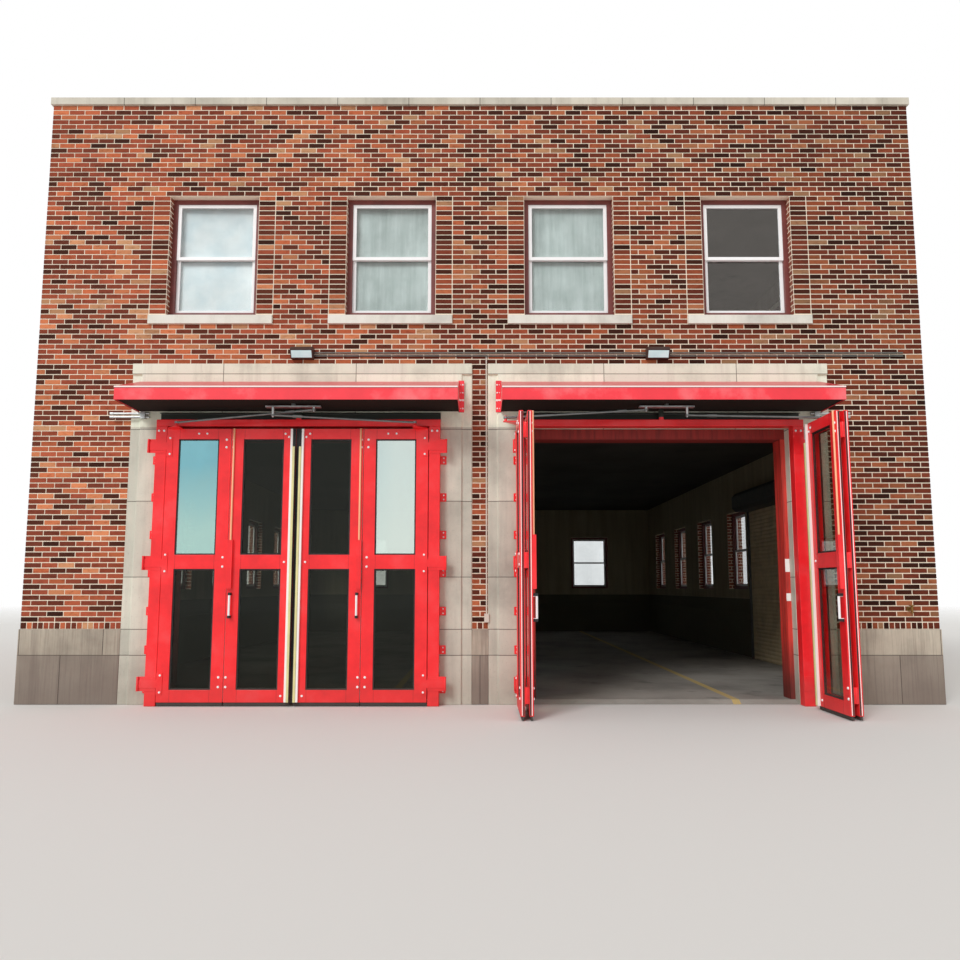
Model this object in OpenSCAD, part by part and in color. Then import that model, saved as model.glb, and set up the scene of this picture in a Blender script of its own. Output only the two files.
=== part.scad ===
// Two-bay brick fire station with an upper storey, limestone bay surrounds and four-fold bay doors.
// X runs along the front, Y runs back from the street and Z is up.
// The origin is the middle of the plan at ground level.

/* [Brickwork] */
// Length of one brick with its joint
brick = 215.9; // [210:0.1:225]
// Height of one brick course with its joint
course = 69.85; // [67:0.05:73]
// Bricks along the front
front_bricks = 55; // [53:1:61]
// Bricks along each side
side_bricks = 75; // [73:1:91]
// Thickness of the outer walls
wall_t = 330; // [300:1:380]

/* [Levels] */
// Height of the limestone base
base_h = 950; // [900:1:1000]
// Height of the course of bricks on edge above the base
rowlock_h = 90; // [70:1:110]
// Courses from the brick on edge to the sills of the upper storey
sill_courses = 57; // [56:1:60]
// Courses from the brick on edge to the sills of the ground storey
ground_sill_courses = 4; // [2:1:8]
// Courses from the brick on edge to the top of the roof slab
roof_courses = 92; // [90:1:98]
// Courses of parapet above the roof slab
parapet_courses = 10; // [4:1:14]
// Height of the upper floor
upper_floor_z = 4350; // [4200:1:4450]
// Thickness of the upper floor
upper_floor_t = 300; // [200:1:350]
// Thickness of the roof slab
roof_t = 250; // [180:1:300]
// Thickness of the floor of the vehicle hall
floor_t = 50; // [30:1:80]

/* [Stone] */
// How far the base stands out from the brick
base_out = 20; // [0:1:30]
// Width of one jamb of a bay surround
jamb_w = 556.95; // [500:0.05:600]
// Bricks in the pier between the two surrounds
pier_bricks = 1; // [1:0.5:3]
// How far the face of a surround stands out from the brick
stone_out = 40; // [32:1:50]
// Width of the sunk band along the outer edge of a surround
band_w = 110; // [80:1:130]
// How far the sunk band stands out from the brick
band_out = 15; // [5:1:25]
// Height of a surround above the bay, 49 courses above the brick on edge with the other sizes
head_h = 862.65; // [800:0.05:930]
// Height of the plain slab on top of a surround
cap_h = 150; // [100:1:200]
// Chamfer on the inner edge of a stone jamb
jamb_chamfer = 15; // [5:1:25]
// Height of the parapet coping
coping_h = 105; // [80:1:140]
// How far the coping stands out on each side of the wall
coping_out = 35; // [20:1:60]
// Fall of the top of the coping
coping_fall = 20; // [5:1:40]

/* [Windows] */
// Bricks from one window to the next
window_pitch = 11.25; // [10:0.25:11.5]
// Bricks that one window sill is long
sill_bricks = 7.75; // [7:0.25:8.25]
// Width of the brick infill strip beside each window
infill_w = 228; // [150:1:240]
// Courses from the underside of a sill to the head of its window
window_courses = 26; // [22:1:29]
// Height of a sill
sill_h = 130; // [100:1:140]
// How far a sill stands out from the brick
sill_out = 35; // [20:1:60]
// Fall of the outer edge of a sill
sill_fall = 12; // [4:1:20]
// How far a sill reaches into the wall
sill_in = 200; // [150:1:240]
// How far a window frame sits behind the brick face
frame_in = 110; // [90:1:140]
// Depth of a window frame
frame_d = 110; // [100:1:130]
// Face width of a window frame
frame_face = 65; // [50:1:80]
// Face width of a sash
sash_face = 48; // [35:1:60]
// Thickness of a sash
sash_t = 35; // [30:1:38]
// How far the upper sash sits behind the face of its frame
sash_in = 10; // [5:1:14]
// Gap between the two sashes
sash_gap = 2; // [1:0.5:4]
// Thickness of the window glass
pane_t = 6; // [4:1:10]
// Thickness of a window blind
blind_t = 4; // [2:1:6]
// Gap between the lower sash and a blind
blind_gap = 6; // [3:1:10]

/* [Bay openings] */
// Clear width between the stone jambs
bay_w = 3420; // [3350:1:3500]
// Height of the underside of the stone head
bay_h = 3600; // [3560:1:3640]
// Width of the old timber frame inside the stone
timber_w = 60; // [45:1:120]
// Height of the old timber lintel
timber_head = 140; // [100:1:260]
// How far the timber frame sits behind the brick face
timber_in = 110; // [105:1:150]
// Depth of the timber frame
timber_d = 250; // [200:1:400]
// Length of the ramp at the street edge of the hall floor
ramp_d = 90; // [50:1:100]

/* [Folding doors] */
// Fold of the left bay's leaves, 0 shut and 90 folded back
left_fold = 0; // [0:1:90]
// Fold of the right bay's leaves, 0 shut and 90 folded back
right_fold = 90; // [0:1:90]
// Width and depth of a steel door post
post_w = 145; // [120:1:160]
// Drop from the stone head to the top of a door post
post_drop = 20; // [10:1:40]
// Height of the steel header tube
header_h = 90; // [60:1:95]
// Width of the bracket from the header to the canopy
header_bracket_w = 60; // [40:1:80]
// Thickness of the bracket from the header to the canopy
header_bracket_t = 40; // [20:1:60]
// Height of the steel channel on top of the header
channel_h = 110; // [80:1:130]
// Depth of the steel channel
channel_d = 60; // [40:1:80]
// Thickness of the steel channel
channel_t = 8; // [5:1:12]
// Thickness of a leaf
leaf_t = 50; // [45:1:65]
// Running gap beside a leaf
leaf_gap = 8; // [5:1:12]
// Height of the lower edge of a leaf
leaf_bottom = 50; // [40:1:60]
// Drop from the top of a post to the upper edge of a leaf
leaf_drop = 35; // [25:1:50]
// Width of the stiles of a leaf
stile_w = 168; // [140:1:190]
// Height of the top rail of a leaf
top_rail = 150; // [120:1:180]
// Height of the middle rail of a leaf
mid_rail = 205; // [160:1:240]
// Height of the middle of the middle rail
mid_rail_z = 1812; // [1750:1:1900]
// Height of the bottom rail of a leaf
bottom_rail = 166; // [140:1:220]
// Width of the glazing rebate
rebate_w = 12; // [6:1:20]
// Depth of the glazing rebate
rebate_d = 18; // [10:1:20]
// Thickness of the door glass
door_glass_t = 24; // [12:1:26]
// Width of the rubber on a leading edge
seal_w = 20; // [15:1:30]
// Thickness of the rubber on a leading edge
seal_t = 36; // [20:1:40]
// Thickness of the rubber sweep under a leaf
sweep_t = 26; // [16:1:40]
// Gap between a sweep and the ground
sweep_gap = 8; // [5:1:20]
// How far a sweep ends short of the edge of its leaf
sweep_in = 5; // [2:1:10]
// Running clearance between two meeting leading edges
seal_fit = 1; // [0.5:0.5:3]

/* [Door ironwork] */
// Distance from the post to the pivot of its hinges
hinge_past = 80; // [40:1:100]
// Radius of the pivot barrel of a strap hinge
pivot_r = 14; // [12:1:18]
// Thickness of the hinge plates
hinge_plate = 8; // [6:1:10]
// Running gap between a strap and the plate behind it
strap_fit = 1; // [0.5:0.5:3]
// Height of the strap across a post
strap_h = 105; // [80:1:130]
// Height of the bolted pad at the end of a strap
pad_h = 270; // [220:1:320]
// Width of the bolted pad at the end of a strap
pad_w = 75; // [50:1:90]
// Running clearance round a pivot barrel
pivot_fit = 0.5; // [0.2:0.1:1]
// Height of one hinge
hinge_h = 180; // [140:1:200]
// Distance from the end of a leaf to the middle of its end hinges
hinge_inset = 230; // [180:1:300]
// Half of the gap between two leaves folded together
fold_off = 25; // [20:1:30]
// Length of one flap of a fold hinge
fold_flap = 60; // [45:1:75]
// Number of bolting tabs on a post
tab_count = 7; // [4:1:9]
// Height of the lowest bolting tab
tab_low = 200; // [150:1:400]
// Drop from the top of a post to its highest bolting tab
tab_drop = 430; // [280:1:680]
// Height of one bolting tab
tab_h = 110; // [80:1:150]
// Width of one bolting tab
tab_w = 80; // [60:1:90]
// Thickness of one bolting tab
tab_t = 10; // [6:1:14]
// Height of the lower end of a pull handle
handle_z = 1100; // [1000:1:1150]
// Length of a pull handle
handle_len = 320; // [250:1:340]
// Radius of the bar of a pull handle
handle_r = 14; // [10:1:18]
// How far the handle bar stands off the leaf
handle_off = 45; // [35:1:60]
// Distance from the fold to the middle of the handle
handle_in = 50; // [40:1:70]
// Height of the lower end of the lock housing
lock_z = 1470; // [1450:1:1500]
// Length of the lock housing
lock_len = 620; // [500:1:700]
// Width of the lock housing
lock_w = 66; // [50:1:76]
// How far the lock housing stands out of the leaf
lock_out = 42; // [30:1:55]
// Radius of the lock rod
lock_rod_r = 13; // [9:1:16]

/* [Door drive] */
// Radius of the crank
crank_r = 260; // [220:1:290]
// Length of the crank bar past its pins
crank_end = 90; // [40:1:110]
// Width of the crank bar
crank_w = 76; // [60:1:90]
// Thickness of the crank bar
crank_t = 18; // [12:1:20]
// Height of the top of the crank bar below the canopy's underside
crank_drop = 30; // [28:1:34]
// Radius of the crank shaft
shaft_r = 28; // [20:1:34]
// Radius of the rod pins
rod_pin_r = 10; // [8:1:12]
// Radius of the collars on the rod pins
collar_r = 17; // [15:1:20]
// Drop from the crank bar to the middle of the upper rod's eye
upper_rod_drop = 28; // [24:1:32]
// Drop from the crank bar to the middle of the lower rod's eye
lower_rod_drop = 98; // [94:1:102]
// Height of a rod eye
eye_h = 26; // [20:1:30]
// Radius of a rod eye
eye_r = 25; // [20:1:28]
// Radius of a drive rod
rod_r = 14; // [10:1:16]
// Radius of the adjusting sleeve on a rod
sleeve_r = 21; // [18:1:24]
// Length of the adjusting sleeve on a rod
sleeve_len = 120; // [80:1:160]
// Distance from the sleeve to the crank pin along the rod
sleeve_in = 250; // [220:1:300]
// Thickness of a lever
lever_t = 12; // [8:1:16]
// Width of a lever
lever_w = 60; // [44:1:70]
// Reach of a lever out to its pin
lever_reach = 120; // [90:1:130]
// Height of the middle of a lever's rod eye above the lever
lever_rise = 43; // [40:1:50]
// Radial clearance of a pin in its eye
pin_fit = 0.2; // [0.1:0.05:0.3]

/* [Canopies] */
// Height of a canopy's underside above the underside of the stone head
soffit_up = 210; // [200:1:240]
// How far a canopy stands out from the brick
canopy_d = 760; // [700:1:850]
// How far a canopy runs past the bay towards the corner of the building
canopy_past_outer = 450; // [420:1:560]
// How far a canopy runs past the bay towards the pier
canopy_past_inner = 390; // [370:1:420]
// Height of the front board of a canopy
fascia_h = 160; // [120:1:200]
// Rise of the canopy's roof from the front board to the wall
canopy_rise = 245; // [150:1:260]
// How far the front board hangs below the underside
fascia_lip = 14; // [8:1:18]
// Thickness of the front board's lip, drip edge and end plates
sheet_t = 10; // [6:1:12]
// Width of the bolting flange beyond the inner end of a canopy
flange_w = 65; // [50:1:80]
// Height of the flange above the canopy's roof
flange_up = 10; // [5:1:40]

/* [Wall fittings] */
// Width of a floodlight
light_w = 300; // [240:1:360]
// Depth of a floodlight
light_d = 150; // [120:1:190]
// Height of a floodlight
light_h = 150; // [120:1:180]
// Gap between the surround and the floodlight above it
light_gap = 60; // [30:1:100]
// Thickness of the floodlight's lens
lens_t = 8; // [5:1:12]
// Width of the floodlight's rim at each end of the lens
lens_in = 15; // [8:1:25]
// Radius of a conduit
conduit_r = 9; // [6:1:12]
// Distance between the two conduits
conduit_pitch = 45; // [30:1:60]
// Gap between a conduit and the brick face
conduit_off = 7; // [5:1:12]
// Distance from the end of the conduits to the corner of the building
conduit_end = 260; // [150:1:500]
// Distance of the conduit down the pier from the middle of the front
drop_x = 85; // [60:1:90]
// Width of the box at the foot of the conduit down the pier
drop_box_w = 60; // [50:1:70]
// Height of the box at the foot of the conduit down the pier
drop_box_h = 110; // [80:1:140]
// Depth of the box at the foot of the conduit down the pier
drop_box_d = 42; // [35:1:50]
// Drop from a canopy's underside to the twin side tubes
side_tube_drop = 60; // [50:1:100]
// Length of the twin side tubes
side_tube_len = 520; // [400:1:600]
// How far the twin side tubes start under the canopy
side_tube_under = 160; // [120:1:200]
// Radius of one side tube
side_tube_r = 15; // [10:1:20]
// Length of the cap on the outer end of a side tube
tube_cap = 45; // [20:1:80]
// Radius of the cap on the outer end of a side tube
tube_cap_r = 19; // [16:1:22]
// Distance of the side tubes from the wall
side_tube_out = 70; // [50:1:100]
// Width of the wall bracket of the side tubes
tube_bracket_w = 60; // [40:1:90]
// Distance from the inner end of the side tubes to their wall bracket
tube_bracket_in = 50; // [20:1:55]
// Height of the hose tap
tap_z = 1210; // [1150:1:1300]
// Distance from the hose tap to the corner of the building
tap_in = 380; // [250:1:500]
// How far the body of the hose tap stands out from the brick
tap_out = 80; // [60:1:120]
// Radius of the body of the hose tap
tap_r = 16; // [12:1:20]
// Length of the spout of the hose tap below its pipe
tap_spout = 55; // [40:1:80]
// Length of the stem of the hose tap above its pipe
tap_stem = 40; // [30:1:60]
// Radius of the handwheel of the hose tap
tap_wheel_r = 34; // [25:1:40]

/* [Side entrance shutter] */
// Bricks that the shutter opening is wide
shutter_bricks = 13; // [10:0.5:13]
// Courses from the brick on edge to the head of the shutter opening
shutter_courses = 28; // [24:1:32]
// Height of one shutter slat
slat_h = 75; // [60:1:100]
// Depth of the curve of a slat
slat_bow = 12; // [6:1:16]
// Thickness of a slat
slat_t = 4; // [2:0.5:6]
// Width and depth of a shutter guide
guide_w = 80; // [70:1:100]
// Side of the shutter's hood
hood_h = 380; // [320:1:450]
// Chamfer on the corners of the hood
hood_chamfer = 76; // [40:1:110]
// How far the guides run above the opening
guide_up = 40; // [20:1:60]
// Clearance of the curtain in its guides
guide_fit = 8; // [4:1:14]

/* [Hidden] */
$fn = 48;

// Overshoot of every cutting solid
over = 20;
// Plan of the building
plan_w = front_bricks * brick;
plan_d = side_bricks * brick;
room_w = plan_w - 2 * wall_t;
room_d = plan_d - 2 * wall_t;
// Levels that follow the brick courses
function course_z(n) = base_h + rowlock_h + n * course;
surround_top = bay_h + head_h;
roof_z = course_z(roof_courses);
wall_top = course_z(roof_courses + parapet_courses);
shutter_top = course_z(shutter_courses);
// Bays
surround_w = bay_w + 2 * jamb_w;
pier_w = pier_bricks * brick;
bay_x = (pier_w + surround_w) / 2;
end_x = bay_x + surround_w / 2;
cove_r = stone_out - band_out;
post_h = bay_h - post_drop;
leaf_top = post_h - leaf_drop;
tab_pitch = (post_h - tab_drop - tab_low) / (tab_count - 1);
soffit_z = bay_h + soffit_up;
canopy_outer = bay_w / 2 + canopy_past_outer;
canopy_inner = bay_w / 2 + canopy_past_inner;
// Windows
win_len = sill_bricks * brick;
win_w = win_len - 2 * infill_w;
win_h = window_courses * course - sill_h;
light_open_w = win_w - 2 * frame_face;
light_open_h = win_h - 2 * frame_face;
front_windows = [for (i = [-1.5 : 1 : 1.5]) i * window_pitch * brick];
side_windows = [for (i = [-2.5 : 1 : 2.5]) i * window_pitch * brick];
storeys = [ground_sill_courses, sill_courses];
// Side entrance shutter, in the place of one ground storey window
shutter_x = side_windows[1];
shutter_w = shutter_bricks * brick;
// Folding doors, in the frame of one leaf pair: the pivot is the origin and X runs to the bay's middle
post_d = post_w;
post_y = pivot_r + strap_fit + hinge_plate;
bay_edge_x = hinge_past + post_w;
pivot_x = bay_w / 2 + bay_edge_x;
pivot_out = stone_out + post_d + post_y;
leaf_w = (bay_w / 2 - 2 * leaf_gap - seal_w) / 2;
jamb_leaf_x = bay_edge_x + leaf_gap;
lead_leaf_x = jamb_leaf_x + leaf_w + leaf_gap;
fold_x = jamb_leaf_x + leaf_w + leaf_gap / 2;
fold_y = pivot_r + leaf_t + fold_off;
hinge_levels = [leaf_bottom + hinge_inset, (leaf_bottom + leaf_top) / 2, leaf_top - hinge_inset];
leaf_lights = [[leaf_bottom + bottom_rail, mid_rail_z - mid_rail / 2],
    [mid_rail_z + mid_rail / 2, leaf_top - top_rail]];
// Door drive
lever_x = 2 * crank_r - lever_reach;
crank_out = pivot_out + crank_r;
crank_top = soffit_z - crank_drop;
crank_low = crank_top - crank_t;
upper_eye_z = crank_low - upper_rod_drop;
lower_eye_z = crank_low - lower_rod_drop;
lever_top = leaf_top + lever_t;
lever_eye_z = lever_top + lever_rise;

// Box between two corners
module block(low, high) {
    translate(low)
        cube(high - low);
}

// Places on the four walls: X along the wall seen from outside, Y into the building
module on_front() { translate([0, -plan_d / 2, 0]) children(); }
module on_rear() { rotate(180) translate([0, -plan_d / 2, 0]) children(); }
module on_left() { rotate(-90) translate([0, -plan_w / 2, 0]) children(); }
module on_right() { rotate(90) translate([0, -plan_w / 2, 0]) children(); }

// Places on the front wall, one for each bay
module on_bays() {
    on_front()
        for (side = [-1, 1])
            translate([side * bay_x, 0, 0])
                mirror([side > 0 ? 1 : 0, 0, 0])
                    children();
}

// Floors

module ground_floor() {
    color("gray") {
        block([-room_w / 2, -room_d / 2, 0], [room_w / 2, room_d / 2, floor_t]);
        on_front()
            for (side = [-1, 1])
                translate([side * bay_x - bay_w / 2, 0, 0])
                    rotate([90, 0, 90])
                        linear_extrude(bay_w)
                            polygon([[0, 0], [wall_t, 0], [wall_t, floor_t], [ramp_d, floor_t]]);
        on_right()
            block([shutter_x - shutter_w / 2, 0, 0], [shutter_x + shutter_w / 2, wall_t, floor_t]);
    }
}

module upper_floor() {
    color("gray")
        block([-room_w / 2, -room_d / 2, upper_floor_z - upper_floor_t],
            [room_w / 2, room_d / 2, upper_floor_z]);
}

module roof_slab() {
    color("dimgray")
        block([-room_w / 2, -room_d / 2, roof_z - roof_t], [room_w / 2, room_d / 2, roof_z]);
}

// Limestone base

module base_front() {
    color("lightgray")
        on_front() {
            for (side = [0, 1])
                mirror([side, 0, 0])
                    block([end_x, -base_out, 0], [plan_w / 2 + base_out, wall_t, base_h]);
            block([-pier_w / 2, -base_out, 0], [pier_w / 2, wall_t, base_h]);
        }
}

module base_sides() {
    color("lightgray") {
        on_left()
            block([-room_d / 2, -base_out, 0], [room_d / 2, wall_t, base_h]);
        on_right() {
            block([-room_d / 2, -base_out, 0], [shutter_x - shutter_w / 2, wall_t, base_h]);
            block([shutter_x + shutter_w / 2, -base_out, 0], [room_d / 2, wall_t, base_h]);
        }
    }
}

module base_rear() {
    color("lightgray")
        on_rear()
            block([-plan_w / 2 - base_out, -base_out, 0], [plan_w / 2 + base_out, wall_t, base_h]);
}

// Brick walls

// Openings of a row of windows, with the seats of their sills
module window_holes(places, courses) {
    for (x = places, n = courses)
        translate([x, 0, course_z(n)]) {
            block([-win_w / 2, -over, sill_h], [win_w / 2, wall_t + over, sill_h + win_h]);
            block([-win_len / 2, -over, 0], [win_len / 2, sill_in, sill_h]);
        }
}

module front_wall_ends() {
    color("firebrick")
        on_front()
            for (side = [0, 1])
                mirror([side, 0, 0])
                    block([end_x, 0, base_h], [plan_w / 2, wall_t, surround_top]);
}

module front_pier() {
    color("firebrick")
        on_front()
            block([-pier_w / 2, 0, base_h], [pier_w / 2, wall_t, surround_top]);
}

module front_wall_upper() {
    color("firebrick")
        on_front() {
            difference() {
                block([-plan_w / 2, 0, surround_top], [plan_w / 2, wall_t, wall_top]);
                window_holes(front_windows, [sill_courses]);
            }
        }
}

module left_wall() {
    color("firebrick")
        on_left() {
            difference() {
                block([-room_d / 2, 0, base_h], [room_d / 2, wall_t, wall_top]);
                window_holes(side_windows, storeys);
            }
        }
}

// Ground storey windows beside the shutter
beside_shutter = [for (x = side_windows) if (abs(x - shutter_x) > (shutter_w + win_len) / 2) x];

module right_wall() {
    color("firebrick")
        on_right() {
            difference() {
                block([-room_d / 2, 0, base_h], [room_d / 2, wall_t, wall_top]);
                window_holes(side_windows, [sill_courses]);
                window_holes(beside_shutter, [ground_sill_courses]);
                block([shutter_x - shutter_w / 2, -over, base_h - over],
                    [shutter_x + shutter_w / 2, wall_t + over, shutter_top]);
            }
        }
}

module rear_wall() {
    color("firebrick")
        on_rear() {
            difference() {
                block([-plan_w / 2, 0, base_h], [plan_w / 2, wall_t, wall_top]);
                window_holes(front_windows, storeys);
            }
        }
}

// Coping with its top falling towards the roof
module coping_run(length) {
    translate([-length / 2, 0, wall_top])
        rotate([90, 0, 90])
            linear_extrude(length)
                polygon([[-coping_out, 0], [wall_t + coping_out, 0],
                    [wall_t + coping_out, coping_h - coping_fall], [-coping_out, coping_h]]);
}

module coping_front_rear() {
    color("lightgray") {
        on_front() coping_run(plan_w + 2 * coping_out);
        on_rear() coping_run(plan_w + 2 * coping_out);
    }
}

module coping_sides() {
    color("lightgray") {
        on_left() coping_run(room_d - 2 * coping_out);
        on_right() coping_run(room_d - 2 * coping_out);
    }
}

// Limestone surrounds of the bays

// Plan of the outer part of a surround: plain face, cove and sunk band
module surround_plan(inner, chamfer) {
    cove_x = surround_w / 2 - band_w;
    polygon(concat(
        [[inner, wall_t], [inner, -stone_out + chamfer], [inner + chamfer, -stone_out]],
        [for (a = [180 : -15 : 90]) [cove_x + cove_r * cos(a), -stone_out + cove_r * sin(a)]],
        [[surround_w / 2, -band_out], [surround_w / 2, wall_t]]));
}

module surround_jambs() {
    color("tan")
        on_bays()
            for (side = [0, 1])
                mirror([side, 0, 0])
                    linear_extrude(bay_h)
                        surround_plan(bay_w / 2, jamb_chamfer);
}

module surround_heads() {
    color("tan")
        on_bays() {
            translate([0, 0, bay_h])
                linear_extrude(surround_top - cap_h - bay_h)
                    for (side = [0, 1])
                        mirror([side, 0, 0])
                            surround_plan(0, 0);
            block([-surround_w / 2, -stone_out, surround_top - cap_h],
                [surround_w / 2, wall_t, surround_top]);
        }
}

// Old timber frame behind the stone

module timber_jambs() {
    color("darkred")
        on_bays()
            for (side = [0, 1])
                mirror([side, 0, 0])
                    block([bay_w / 2 - timber_w, timber_in, floor_t],
                        [bay_w / 2, timber_in + timber_d, bay_h - timber_head]);
}

module timber_lintels() {
    color("darkred")
        on_bays()
            block([-bay_w / 2, timber_in, bay_h - timber_head],
                [bay_w / 2, timber_in + timber_d, bay_h]);
}

// Windows

// Every window, from the underside of its sill
module at_windows() {
    on_front() at_places(front_windows, [sill_courses]) children();
    on_rear() at_places(front_windows, storeys) children();
    on_left() at_places(side_windows, storeys) children();
    on_right() at_places(side_windows, [sill_courses]) children();
    on_right() at_places(beside_shutter, [ground_sill_courses]) children();
}

module at_places(places, courses) {
    for (x = places, n = courses)
        translate([x, 0, course_z(n)])
            children();
}

module window_sills() {
    color("lightgray")
        at_windows()
            translate([-win_len / 2, 0, 0])
                rotate([90, 0, 90])
                    linear_extrude(win_len)
                        polygon([[-sill_out, 0], [sill_in, 0], [sill_in, sill_h],
                            [0, sill_h], [-sill_out, sill_h - sill_fall]]);
}

module window_frames() {
    color("maroon")
        at_windows()
            difference() {
                block([-win_w / 2, frame_in, sill_h], [win_w / 2, frame_in + frame_d, sill_h + win_h]);
                block([-light_open_w / 2, frame_in - over, sill_h + frame_face],
                    [light_open_w / 2, frame_in + frame_d + over, sill_h + win_h - frame_face]);
            }
}

// Levels of the two sashes of a window, lower edge and upper edge
sash_mid = sill_h + win_h / 2;
lower_sash = [sill_h + frame_face, sash_mid + sash_face / 2];
upper_sash = [sash_mid - sash_face / 2, sill_h + win_h - frame_face];
upper_sash_y = frame_in + sash_in;
lower_sash_y = upper_sash_y + sash_t + sash_gap;

module sash(levels, y) {
    difference() {
        block([-light_open_w / 2, y, levels[0]], [light_open_w / 2, y + sash_t, levels[1]]);
        block([-light_open_w / 2 + sash_face, y - over, levels[0] + sash_face],
            [light_open_w / 2 - sash_face, y + sash_t + over, levels[1] - sash_face]);
    }
}

module sash_pane(levels, y) {
    block([-light_open_w / 2 + sash_face, y + (sash_t - pane_t) / 2, levels[0] + sash_face],
        [light_open_w / 2 - sash_face, y + (sash_t + pane_t) / 2, levels[1] - sash_face]);
}

module upper_sashes() {
    color("white")
        at_windows()
            sash(upper_sash, upper_sash_y);
}

module lower_sashes() {
    color("white")
        at_windows()
            sash(lower_sash, lower_sash_y);
}

module window_glass() {
    color("lightblue")
        at_windows() {
            sash_pane(upper_sash, upper_sash_y);
            sash_pane(lower_sash, lower_sash_y);
        }
}

// Blinds behind the three left windows of the front
module window_blinds() {
    blind_y = lower_sash_y + sash_t + blind_gap;
    color("lightgray")
        on_front()
            at_places([for (i = [0 : 2]) front_windows[i]], [sill_courses])
                block([-light_open_w / 2, blind_y, sill_h + frame_face],
                    [light_open_w / 2, blind_y + blind_t, sill_h + win_h - frame_face]);
}

// Side entrance shutter, on the inner face of the right wall

guide_top = shutter_top + guide_up;
curtain_y = wall_t + guide_w / 2;
slats = ceil((guide_top - floor_t) / slat_h);
function slat_point(i, k) = [slat_bow * sin(180 * k / 4), floor_t + (i + k / 4) * slat_h];
slat_face = [for (i = [0 : slats - 1], k = [0 : 3]) slat_point(i, k)];

module roller_shutter() {
    face = concat([for (p = slat_face) if (p[1] < guide_top) p], [[0, guide_top]]);
    back = [for (i = [len(face) - 1 : -1 : 0]) [face[i][0] + slat_t, face[i][1]]];
    color("tan")
        on_right()
            translate([shutter_x - shutter_w / 2 - guide_w / 2, curtain_y - slat_bow / 2, 0])
                rotate([90, 0, 90])
                    linear_extrude(shutter_w + guide_w)
                        polygon(concat(face, back));
}

module shutter_guides() {
    slot = slat_bow + slat_t + guide_fit;
    color("dimgray")
        on_right()
            for (side = [0, 1])
                translate([shutter_x, 0, 0])
                    mirror([side, 0, 0])
                        difference() {
                            block([shutter_w / 2, wall_t, floor_t],
                                [shutter_w / 2 + guide_w, wall_t + guide_w, guide_top]);
                            block([shutter_w / 2 - over, curtain_y - slot / 2, floor_t - over],
                                [shutter_w / 2 + guide_w / 2, curtain_y + slot / 2, guide_top + over]);
                        }
}

module shutter_hood() {
    color("dimgray")
        on_right()
            translate([shutter_x - shutter_w / 2 - guide_w, wall_t, guide_top])
                rotate([90, 0, 90])
                    linear_extrude(shutter_w + 2 * guide_w)
                        polygon([[0, 0], [hood_h - hood_chamfer, 0], [hood_h, hood_chamfer],
                            [hood_h, hood_h - hood_chamfer], [hood_h - hood_chamfer, hood_h], [0, hood_h]]);
}

// Folding doors

// Places of the four leaf pairs, with the fold and the hand of each
module leaf_pairs() {
    on_front()
        for (side = [-1, 1], hand = [0, 1])
            translate([side * bay_x, 0, 0])
                mirror([hand, 0, 0])
                    translate([-pivot_x, -pivot_out, 0]) {
                        $fold = side < 0 ? left_fold : right_fold;
                        $hand = hand;
                        children();
                    }
}

// Frame of a leaf hung on the post
module jamb_leaf_frame() { rotate(-$fold) children(); }

// Frame of a leaf hung on the first leaf's fold hinge
module lead_leaf_frame() {
    rotate(-$fold)
        translate([fold_x, fold_y, 0])
            rotate(2 * $fold)
                translate([-fold_x, -fold_y, 0])
                    children();
}

module door_posts() {
    color("red")
        leaf_pairs()
            translate([hinge_past, post_y, 0]) {
                block([0, 0, 0], [post_w, post_d, post_h]);
                for (i = [0 : tab_count - 1])
                    translate([-tab_w, post_d - tab_t, tab_low + i * tab_pitch])
                        block([0, 0, -tab_h / 2], [tab_w, tab_t, tab_h / 2]);
            }
}

module door_headers() {
    color("red")
        on_bays() {
            block([-bay_w / 2 - post_w, -stone_out - post_d, post_h],
                [bay_w / 2 + post_w, -stone_out, post_h + header_h]);
            block([-header_bracket_w / 2, -stone_out - post_d, post_h + header_h],
                [header_bracket_w / 2, -stone_out - post_d + header_bracket_t, soffit_z]);
            translate([-bay_w / 2 - post_w, -stone_out, post_h + header_h])
                rotate([90, 0, 90])
                    linear_extrude(bay_w + 2 * post_w)
                        polygon([[0, 0], [-channel_d, 0], [-channel_d, channel_t], [-channel_t, channel_t],
                            [-channel_t, channel_h - channel_t], [-channel_d, channel_h - channel_t],
                            [-channel_d, channel_h], [0, channel_h]]);
        }
}

// One leaf with its two glazed openings, rebated from outside
module leaf(x) {
    difference() {
        block([x, pivot_r, leaf_bottom], [x + leaf_w, pivot_r + leaf_t, leaf_top]);
        for (z = leaf_lights) {
            block([x + stile_w, pivot_r - over, z[0]],
                [x + leaf_w - stile_w, pivot_r + leaf_t + over, z[1]]);
            block([x + stile_w - rebate_w, pivot_r - over, z[0] - rebate_w],
                [x + leaf_w - stile_w + rebate_w, pivot_r + rebate_d, z[1] + rebate_w]);
        }
    }
}

module leaf_glass(x) {
    for (z = leaf_lights)
        block([x + stile_w, pivot_r + rebate_d, z[0]],
            [x + leaf_w - stile_w, pivot_r + rebate_d + door_glass_t, z[1]]);
}

module leaf_sweep(x) {
    block([x + sweep_in, pivot_r + (leaf_t - sweep_t) / 2, sweep_gap],
        [x + leaf_w - sweep_in, pivot_r + (leaf_t + sweep_t) / 2, leaf_bottom]);
}

module jamb_leaves() {
    color("red")
        leaf_pairs()
            jamb_leaf_frame()
                leaf(jamb_leaf_x);
}

module lead_leaves() {
    color("red")
        leaf_pairs()
            lead_leaf_frame()
                leaf(lead_leaf_x);
}

module door_glass() {
    color("lightblue")
        leaf_pairs() {
            jamb_leaf_frame() leaf_glass(jamb_leaf_x);
            lead_leaf_frame() leaf_glass(lead_leaf_x);
        }
}

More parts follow.
